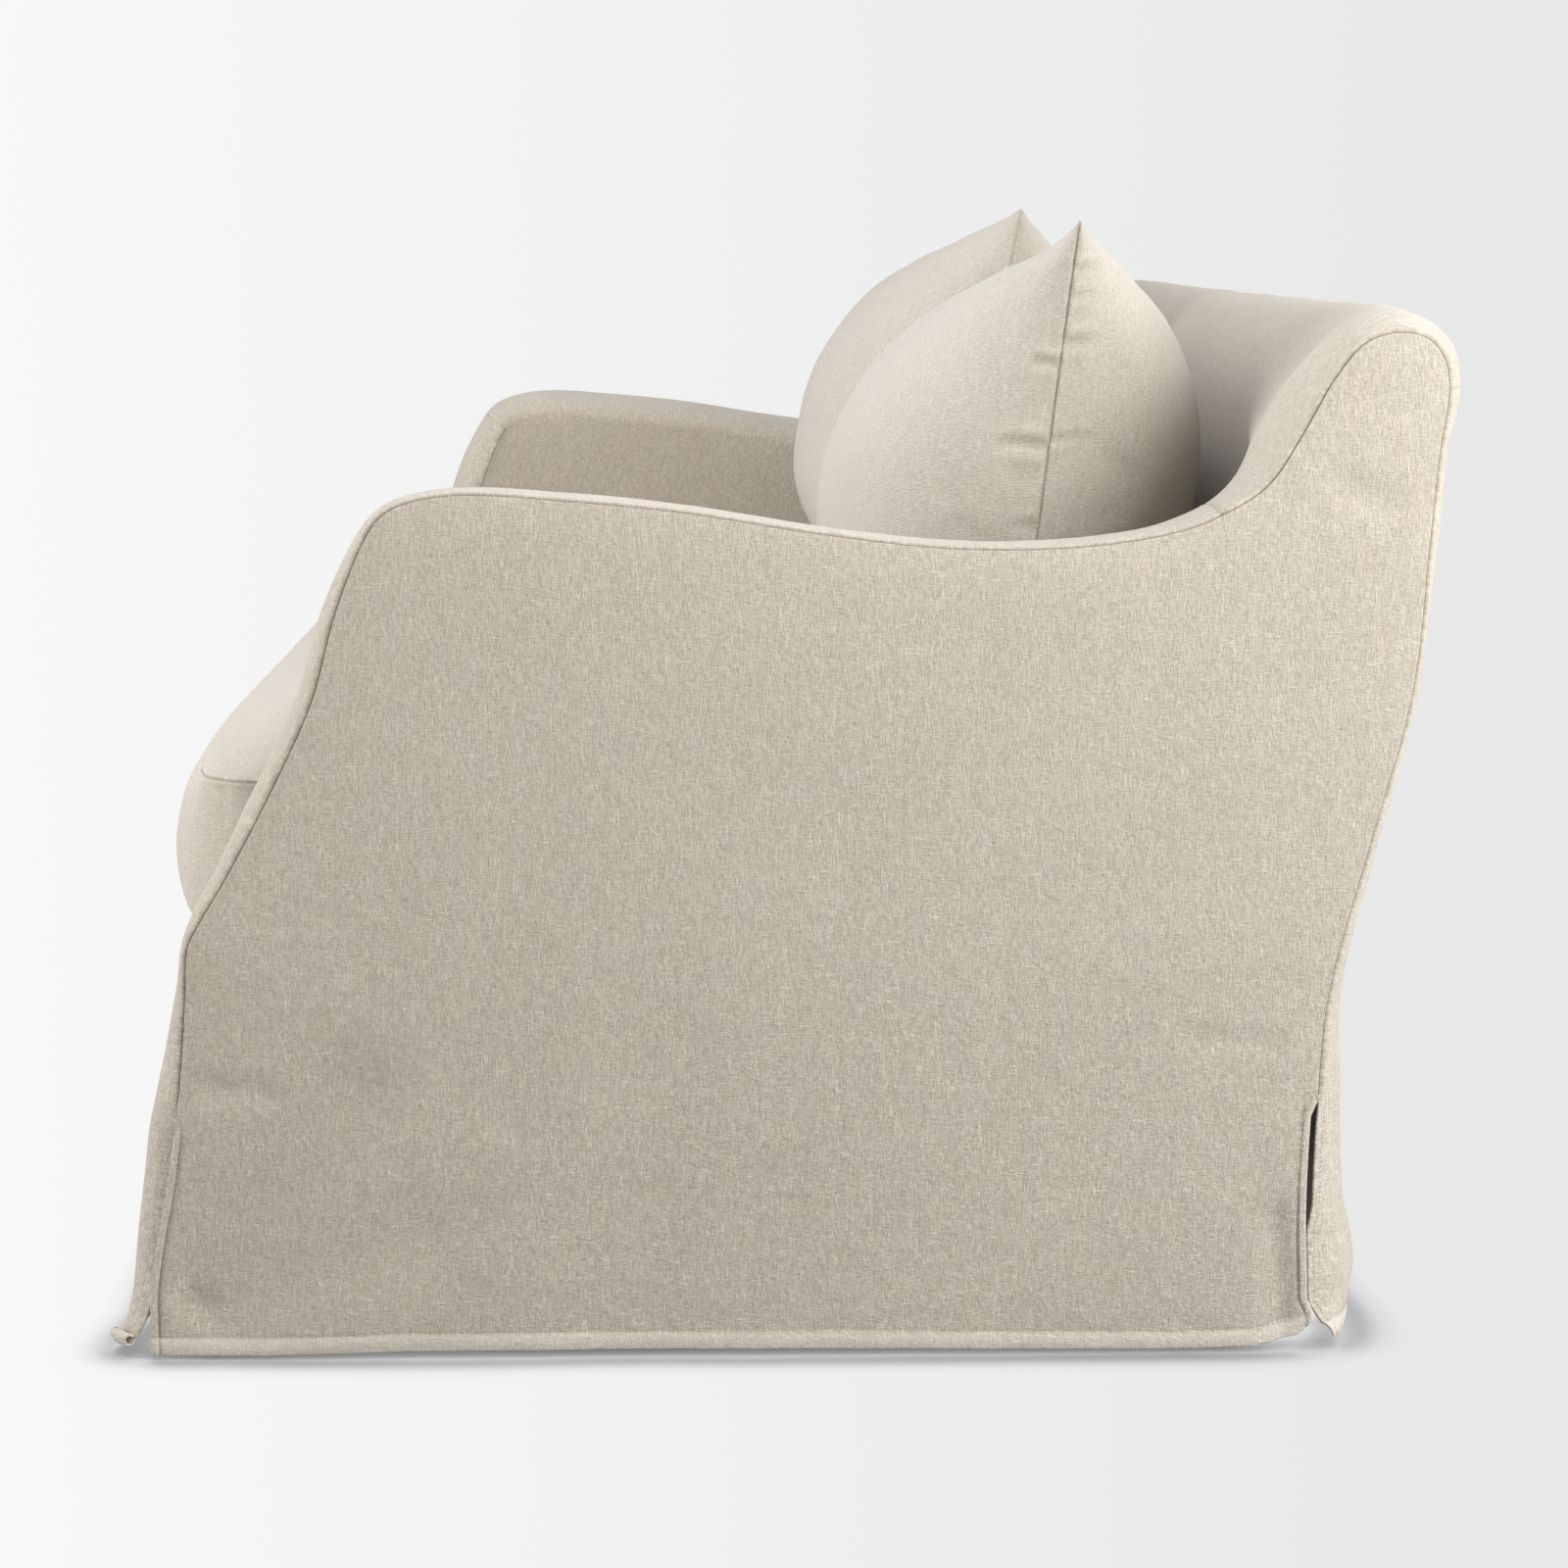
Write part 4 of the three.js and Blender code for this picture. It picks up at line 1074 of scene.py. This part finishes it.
def seat_cushion():
    p = swollen_places(0.0185, (0, 0.010, 0.020, 0.032, 0.046, 0.062))
    q = swollen_places(0.0330, (0, 0.016, 0.032, 0.050, 0.070))
    near_seam = (0, 0.02, 0.045, 0.08, 0.13)
    levels = graded(2.0, 0.22, near_seam, near_seam) - 1
    p2, q2 = np.meshgrid(p, q)
    dome = domed(p2) * domed(q2)
    top_z = SEAT["top"] + SEAT["crown"] * dome
    bottom_z = SEAT["bottom"] - (SEAT["bottom"] - SEAT["rest"]) * dome
    faces = [np.stack([*seat_plan(p2, q2, level), z], axis=-1)
             for level, z in ((1.0, top_z), (-1.0, bottom_z))]
    points = [face.reshape(-1, 3) for face in faces]
    table, count = numbered(*p2.shape), p2.size
    loop = rim_of(table)
    rings = [loop + count]
    heights = mix(SEAT["bottom"], SEAT["top"], (levels + 1) / 2)
    for number, level in enumerate(levels[1:-1]):
        x, y = seat_plan(p2.ravel()[loop], q2.ravel()[loop], level)
        points.append(np.stack([x, y, heights[number + 1] + 0 * x], axis=-1))
        rings.append(2 * count + number * len(loop) + np.arange(len(loop)))
    rings = np.array([*rings, loop])
    points = np.concatenate(points)
    flat_cells = quads(table), quads(table + count)[:, ::-1]
    cells = np.concatenate([*flat_cells, quads(np.concatenate([rings, rings[:, :1]], axis=1))])
    rim = points[np.append(loop, loop[0]), :2]
    around = np.concatenate([[0], np.cumsum(np.linalg.norm(np.diff(rim, axis=0), axis=1))])
    side_uv = np.stack(np.meshgrid(around, heights), axis=-1)
    side_cells = quads(numbered(*side_uv.shape[:2]))
    flat_uv = np.concatenate([face[..., :2].reshape(-1, 2) for face in faces])
    uv = np.concatenate([*(flat_uv[numbers.ravel()] for numbers in flat_cells),
                         side_uv.reshape(-1, 2)[side_cells.ravel()]])

    def puckers(points, near):
        x, y, z = points.T
        front = smooth((-0.40 - y) / 0.05) * smooth((z - 0.44) / 0.01)
        gathers = np.array([noise.noise((a / 0.016, 0.0, 3.3)) for a in x])
        return 0.0012 * front * gathers * np.exp(-near / 0.018) * smooth(near / 0.003)

    # The foot rests on the deck, so it stays as it is.
    still = np.concatenate([loop, loop + count, (table + count)[1:-1, 1:-1].ravel()])
    piece = make_cushion("seat_cushion_cover", points, cells, uv, still, [loop, loop + count],
                         SEAT["cap"], puckers, SEAT["seed"], SEAT["seam"])
    points = read_points(piece.data)
    points[:, 2] = np.maximum(points[:, 2], SEAT["rest"])
    set_points(piece.data, points)
    return piece


class Nodes:
    """A node tree, with short ways to add and join what is used here."""

    def __init__(self, tree):
        self.nodes, self.links = tree.nodes, tree.links
        self.nodes.clear()

    def join(self, node, inputs):
        """Each input is a value, or the output of another node."""
        for key, value in inputs.items():
            if isinstance(value, bpy.types.NodeSocket):
                self.links.new(value, node.inputs[key])
            else:
                node.inputs[key].default_value = value

    def add(self, kind, inputs=None, **properties):
        node = self.nodes.new("ShaderNode" + kind)
        for key, value in properties.items():
            setattr(node, key, value)
        self.join(node, inputs or {})
        return node

    def sums(self, operation, a, b=0.0):
        return self.add("Math", {0: a, 1: b}, operation=operation).outputs[0]

    def times(self, first, *others):
        for other in others:
            first = self.sums("MULTIPLY", first, other)
        return first

    def spread(self, value, low, high, out_low=0.0, out_high=1.0, **properties):
        limits = {"From Min": low, "From Max": high, "To Min": out_low, "To Max": out_high}
        return self.add("MapRange", {"Value": value, **limits}, **properties).outputs[0]

    def blend(self, share, first, second, **properties):
        colours = {"Factor": share, "A": first, "B": second}
        return self.add("Mix", colours, data_type="RGBA", **properties).outputs["Result"]

    def axis(self, space, name):
        place = self.add("TexCoord").outputs[space]
        return self.add("SeparateXYZ", {0: place}).outputs[name]


def new_material(name, shader, inputs):
    material = bpy.data.materials.new(name)
    material.use_nodes = True
    net = Nodes(material.node_tree)
    surface = net.add(shader, inputs)
    net.add("OutputMaterial", {"Surface": surface.outputs[0]})
    return material, net, surface


def tinted(colour, *shares):
    """A colour times one share, or times a share for each of its parts."""
    return (*(min(1.0, c * k) for c, k in zip(colour, shares * (3 // len(shares)))), 1)


# Between which values of a noise a thread, a slub or a crack shows.
THREAD_EDGES = (0.34, 0.66)
SLUB_EDGES = (0.62, 0.75)
CRACK_WIDTH = 0.060
DARK_YARN, PALE_YARN = (0.70, 0.68, 0.64), (1.27, 1.27, 1.28)
HUES = (1.006, 0.995, 1.006, 1), (0.997, 1.004, 0.984, 1)
RELIEF = 0.0011  # metres of bump


def linen(name, colour, crinkle=1.0, weave=1.0, warp_share=0.58):
    material, net, surface = new_material(name, "BsdfPrincipled", {
        "Roughness": 0.92, "Specular IOR Level": 0.18, "Sheen Weight": 0.25,
        "Sheen Roughness": 0.6})
    sums, times, spread = net.sums, net.times, net.spread
    cloth_map = net.add("UVMap", uv_map="cloth").outputs[0]

    def patches(across, along, shift=0.0, detail=2.0, rough=0.5, distortion=0.0):
        """Soft noise, with so many patches to the metre across and along."""
        place = net.add("Mapping", {
            "Vector": cloth_map, "Scale": (across, along, 1),
            "Location": (shift, shift * 0.7, shift * 0.3)}).outputs[0]
        return net.add("TexNoise", {
            "Vector": place, "Scale": 1.0, "Detail": detail, "Roughness": rough,
            "Distortion": distortion}).outputs["Fac"]

    def cracks(across, along, shift):
        """Fine lines where a soft noise passes its middle."""
        offset = sums("SUBTRACT", patches(across, along, shift, distortion=0.15), 0.5)
        return spread(sums("ABSOLUTE", offset), 0.0, CRACK_WIDTH, 1.0, 0.0)

    # Threads: short uneven runs of weft across and warp along.
    weft = spread(patches(170, 820, rough=0.6), *THREAD_EDGES)
    warp = spread(patches(820, 150, 9.0, rough=0.6), *THREAD_EDGES)
    slubs = sums("MAXIMUM", spread(patches(60, 640, 3.0, 1.0), *SLUB_EDGES),
                 spread(patches(640, 60, 5.0, 1.0), *SLUB_EDGES))
    threads = sums("ADD", times(weft, 1.0 - warp_share), times(warp, warp_share))
    # The washed linen's crinkle: short cracks across and along, deeper low on the body.
    loose = spread(net.axis("Object", "Z"), 0.78, 0.16, 0.35, 1.0)
    patchy = spread(patches(9, 9, 23.0), 0.30, 0.70, 0.78, 1.0)
    crinkled = sums("MAXIMUM", cracks(75, 480, 13.0), cracks(560, 70, 17.0))
    crinkled = times(crinkled, times(patchy, loose, crinkle))
    dents = times(spread(patches(150, 300, 37.0, rough=0.55), 0.3, 0.7), times(loose, crinkle))

    # Colour: darker down between the threads, painted shade in the cracks, paler on the slubs.
    tone = sums("ADD", times(threads, 0.62), times(slubs, 0.26))
    tone = sums("ADD", tone, times(patches(5, 5, 31.0, 3.0), 0.06))
    tone = sums("SUBTRACT", tone, times(crinkled, 0.24))
    dark, pale = (tinted(colour, *(mix(1, k, weave) for k in yarn))
                  for yarn in (DARK_YARN, PALE_YARN))
    shown = net.blend(spread(tone, -0.05, 0.73), dark, pale)
    # Lots of yarn differ a little in hue.
    hue = net.blend(spread(patches(38, 26, 41.0), 0.38, 0.62), *HUES)
    shown = net.blend(1.0, shown, hue, blend_type="MULTIPLY")
    # Turned edges drawn paler, partly worn and partly painted highlight; painted shade in seam
    # grooves, along stitched lines and on the sheets' inner faces.
    for attribute, strength, tint in (("wear_and_painted_highlight", 0.45, (1.42, 1.44, 1.50)),
                                      ("seam_shade", 0.85, (0.40, 0.34, 0.28))):
        mark = net.add("Attribute", attribute_name=attribute).outputs["Fac"]
        shown = net.blend(times(mark, strength), shown, tinted(colour, *tint))

    relief = sums("ADD", times(dents, 0.7), times(threads, 0.42 * weave))
    relief = sums("SUBTRACT", relief, times(crinkled, 0.8))
    bump = net.add("Bump", {"Strength": 1.0, "Distance": RELIEF, "Height": relief})
    net.join(surface, {"Base Color": shown, "Normal": bump.outputs[0]})
    return material


def thread(name, colour):
    material, net, surface = new_material(name, "BsdfPrincipled", {"Roughness": 0.7})
    place = net.add("TexCoord").outputs["Object"]
    ply = net.add("TexNoise", {"Vector": place, "Scale": 900.0}).outputs["Fac"]
    shown = net.blend(ply, tinted(colour, 0.8), tinted(colour, 1.1))
    net.join(surface, {"Base Color": shown})
    return material


OATMEAL = (0.462, 0.410, 0.336)
body_linen = linen("oatmeal_linen_body", OATMEAL, crinkle=0.50)
deck_linen = linen("oatmeal_linen_deck", tinted(OATMEAL, 0.96)[:3], crinkle=0.3)
# The seat's and back cushions' linen are copies of the body's, drawn lighter (seat) and darker
# (back cushions): painted light and painted shade.
seat_linen = linen("oatmeal_linen_seat", (0.478, 0.430, 0.360),
                   crinkle=0.30, weave=0.75, warp_share=0.35)
pillow_linen = linen("oatmeal_linen_back_cushions", (0.442, 0.400, 0.336),
                     crinkle=0.18, weave=0.85, warp_share=0.38)
sewing_thread = thread("oatmeal_thread", (0.60, 0.55, 0.46))

# ---- camera

PITCH, YAW = math.radians(8.792), math.radians(1.524)  # down, and from straight along X
CAMERA_PLACE = (3.72256, -0.06792, 0.90478)


def put_in_scene(name, data, place, facing, front):
    """A camera or a lamp whose front axis points along facing."""
    holder = bpy.data.objects.new(name, data)
    holder.location = place
    holder.rotation_mode = "QUATERNION"
    holder.rotation_quaternion = Vector(facing).to_track_quat(front, "Y")
    scene.collection.objects.link(holder)
    return holder


lens = bpy.data.cameras.new("camera")
lens.lens, lens.sensor_width = 81.9, 36
lens.clip_start, lens.clip_end = 0.05, 200
looking = (-math.cos(PITCH) * math.cos(YAW), math.cos(PITCH) * math.sin(YAW), -math.sin(PITCH))
scene.camera = put_in_scene("camera", lens, CAMERA_PLACE, looking, "-Z")

# ---- dressing the frame


def dress(piece, slot, material, *replaced):
    piece.data.materials.clear()
    piece.data.materials.append(material)
    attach(piece, "root")
    if replaced:
        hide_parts(*replaced)


def dress_sheet(name, cloth, cut, slot="body_cloth", material=None, sewn=()):
    piece = make_sheet(name.replace(cut, cut + "_cloth", 1), cloth)
    dress(piece, slot, material or body_linen, name)
    threads = []
    if sewn:
        threads = [stitches(piece.name + "_stitching", sewn)]
        dress(threads[0], slot, sewing_thread)


def table_line(cloth, axis, distance, from_end=False, where=None):
    """A line on a cloth at one distance from an edge of its table."""
    lengths = row_lengths(cloth.grid, axis)
    if from_end:
        lengths = np.take(lengths, [-1], axis=axis) - lengths
    normals = normals_of(cloth.grid, cloth.toward)
    path, outward = [], []
    for i in range(cloth.grid.shape[1 - axis]):
        at, points, ways = (np.take(table, i, axis=1 - axis)
                            for table in (lengths, cloth.grid, normals))
        order = np.argsort(at)
        read = lambda table: np.array(
            [np.interp(distance, at[order], values) for values in table[order].T])
        point = read(points)
        if where is None or where(point):
            path.append(point)
            outward.append(read(ways))
    return np.array(path), np.array(outward)


TACK = {"rows": 3, "apart": 0.0012, "proud": 0.0012, "from": 0.4325, "to": 0.4425}


def bar_tack(s):
    """Short rows of thread that close the top of a rear vent."""
    lines = []
    for row in range(TACK["rows"]):
        z = REAR_VENT["top"] + TACK["apart"] * row
        ends = [(s * (HALF_LENGTH + TACK["proud"]), y, z) for y in (TACK["from"], TACK["to"])]
        lines.append((np.array(ends), np.array([(s, 0, 0), (s, 0, 0)], float)))
    return lines


def vent_stitches(cloth, from_end):
    """The stitched line of a free rear edge, up to a little below its bar tack."""
    return table_line(cloth, 1, VENT_EDGE["line"], from_end,
                      lambda point: point[2] < REAR_VENT["top"] - 0.004)


for s, end in SIDES:
    panel = side_panel(s)
    dress_sheet(f"outside_arm_{end}", panel, "outside_arm", sewn=[
        table_line(panel, 0, HEM["line"]), vent_stitches(panel, True), *bar_tack(s)])
    dress_sheet(f"arm_front_{end}", arm_front(s), "arm_front")
    dress_sheet(f"inside_arm_{end}", inside_arm(s), "inside_arm")
dress_sheet("inside_back", inside_back(), "inside_back")
back = outside_back()
dress_sheet("outside_back", back, "outside_back", sewn=[
    table_line(back, 0, HEM["line"], from_end=True),
    vent_stitches(back, False), vent_stitches(back, True)])
apron = front_apron()
dress_sheet("front_apron", apron, "front_apron", sewn=[table_line(apron, 0, HEM["line"])])
dress_sheet("deck", deck(), "deck", "deck_cloth", deck_linen)

seat = seat_cushion()
dress(seat, "seat_cloth", seat_linen, "seat_cushion")
for s, end in SIDES:
    pillow = back_cushion(s, end)
    dress(pillow, "pillow_cloth", pillow_linen, f"back_cushion_{end}")

# ---- studio

LEFT_WHITE, RIGHT_WHITE = (0.947, 0.947, 0.947, 1), (0.800, 0.803, 0.807, 1)
FLOOR_LIGHT = 0.62  # how much of what it shows the floor gives off as light
SHADOW = (0.165, 0.165, 0.172, 1)
CAMERA_AHEAD, CAMERA_ASIDE, NEAREST = 3.72, 0.07, 0.8
# The floor under the cover, as middle and half width along X and Y, and its soft rim.
COVERED = {"X": (0.0, 0.930), "Y": (-0.048, 0.456)}
COVERED_RIM = 0.052


def white(net, aside):
    """The studio's white, painted a little brighter on its left: painted light."""
    return net.blend(net.spread(aside, -0.22, 0.22), LEFT_WHITE, RIGHT_WHITE)


def paper(name):
    """A pale floor with a soft shadow where cloth meets it."""
    material, net, glow = new_material(name, "Emission", {})
    sums, times = net.sums, net.times
    ahead = sums("MAXIMUM", sums("SUBTRACT", CAMERA_AHEAD, net.axis("Object", "X")), NEAREST)
    aside = sums("DIVIDE", sums("ADD", net.axis("Object", "Y"), CAMERA_ASIDE), ahead)

    def openness(distance):
        return net.add("AmbientOcclusion", {"Distance": distance}, samples=4).outputs["AO"]

    def inside(axis):
        middle, half = COVERED[axis]
        away = sums("ABSOLUTE", sums("SUBTRACT", net.axis("Object", axis), middle))
        return net.spread(away, half, half - COVERED_RIM, interpolation_type="SMOOTHSTEP")

    open_share = times(openness(0.055), sums("POWER", openness(0.034), 2.8))
    # Little light reaches the floor under the cover, and the floor lights less than it shows.
    lit = sums("SUBTRACT", 1.0, times(inside("X"), inside("Y"), 0.97))
    seen = net.add("LightPath").outputs["Is Camera Ray"]
    net.join(glow, {"Color": net.blend(open_share, SHADOW, white(net, aside)),
                    "Strength": times(net.spread(seen, 0.0, 1.0, FLOOR_LIGHT, 1.0), lit)})
    return material


bpy.ops.mesh.primitive_circle_add(
    vertices=96, radius=60, fill_type="NGON", location=(0, 0, -0.0005))
floor = bpy.context.object
floor.name = "floor"
floor.data.materials.append(paper("pale_floor"))

scene.world = bpy.data.worlds.new("studio")
scene.world.use_nodes = True
net = Nodes(scene.world.node_tree)
lighting = net.add("Background", {"Color": (1.0, 0.995, 0.985, 1), "Strength": 0.50})
backdrop = net.add("Background", {"Color": white(net, net.axis("Generated", "Y"))})
either = net.add("MixShader", {0: net.add("LightPath").outputs["Is Camera Ray"],
                               1: lighting.outputs[0], 2: backdrop.outputs[0]})
net.add("OutputWorld", {"Surface": either.outputs[0]})


def lamp(name, kind, place, facing, energy, colour, **settings):
    light = bpy.data.lights.new(name, kind)
    light.energy, light.color = energy, colour
    for key, value in settings.items():
        setattr(light, key, value)
    put_in_scene(name, light, place, facing, "Z")


# Suns: the way their light comes from, strength, angle and colour.
for name, toward, strength, angle, colour in (
    ("key", (0.12, -0.95, 0.30), 1.45, 60, (0.95, 0.99, 1.10)),
    ("rear", (0.12, 0.94, 0.26), 2.3, 60, (0.99, 1.0, 1.03)),
    ("side", (1.0, -0.15, 0.35), 0.11, 70, (1, 0.985, 0.96)),
):
    lamp(name, "SUN", (0, 0, 0), toward, strength, colour, angle=math.radians(angle))

# Square panels: their place, what they face, side, power and colour.
for name, place, target, side, power, colour in (
    ("front_panel", (0.75, -2.4, 0.75), (0.3, -0.3, 0.4), 1.4, 27, (1.0, 0.985, 0.96)),
    ("rear_panel", (2.0, 1.5, 1.05), (0.9, 0.3, 0.45), 1.2, 39, (0.97, 1.0, 1.05)),
    ("top_panel", (0.85, -0.3, 2.3), (0.0, 0.25, 0.6), 1.2, 22, (0.95, 0.99, 1.08)),
):
    lamp(name, "AREA", place, Vector(place) - Vector(target), power, colour,
         shape="SQUARE", size=side)

scene.view_settings.view_transform = "Standard"
scene.view_settings.look = "None"
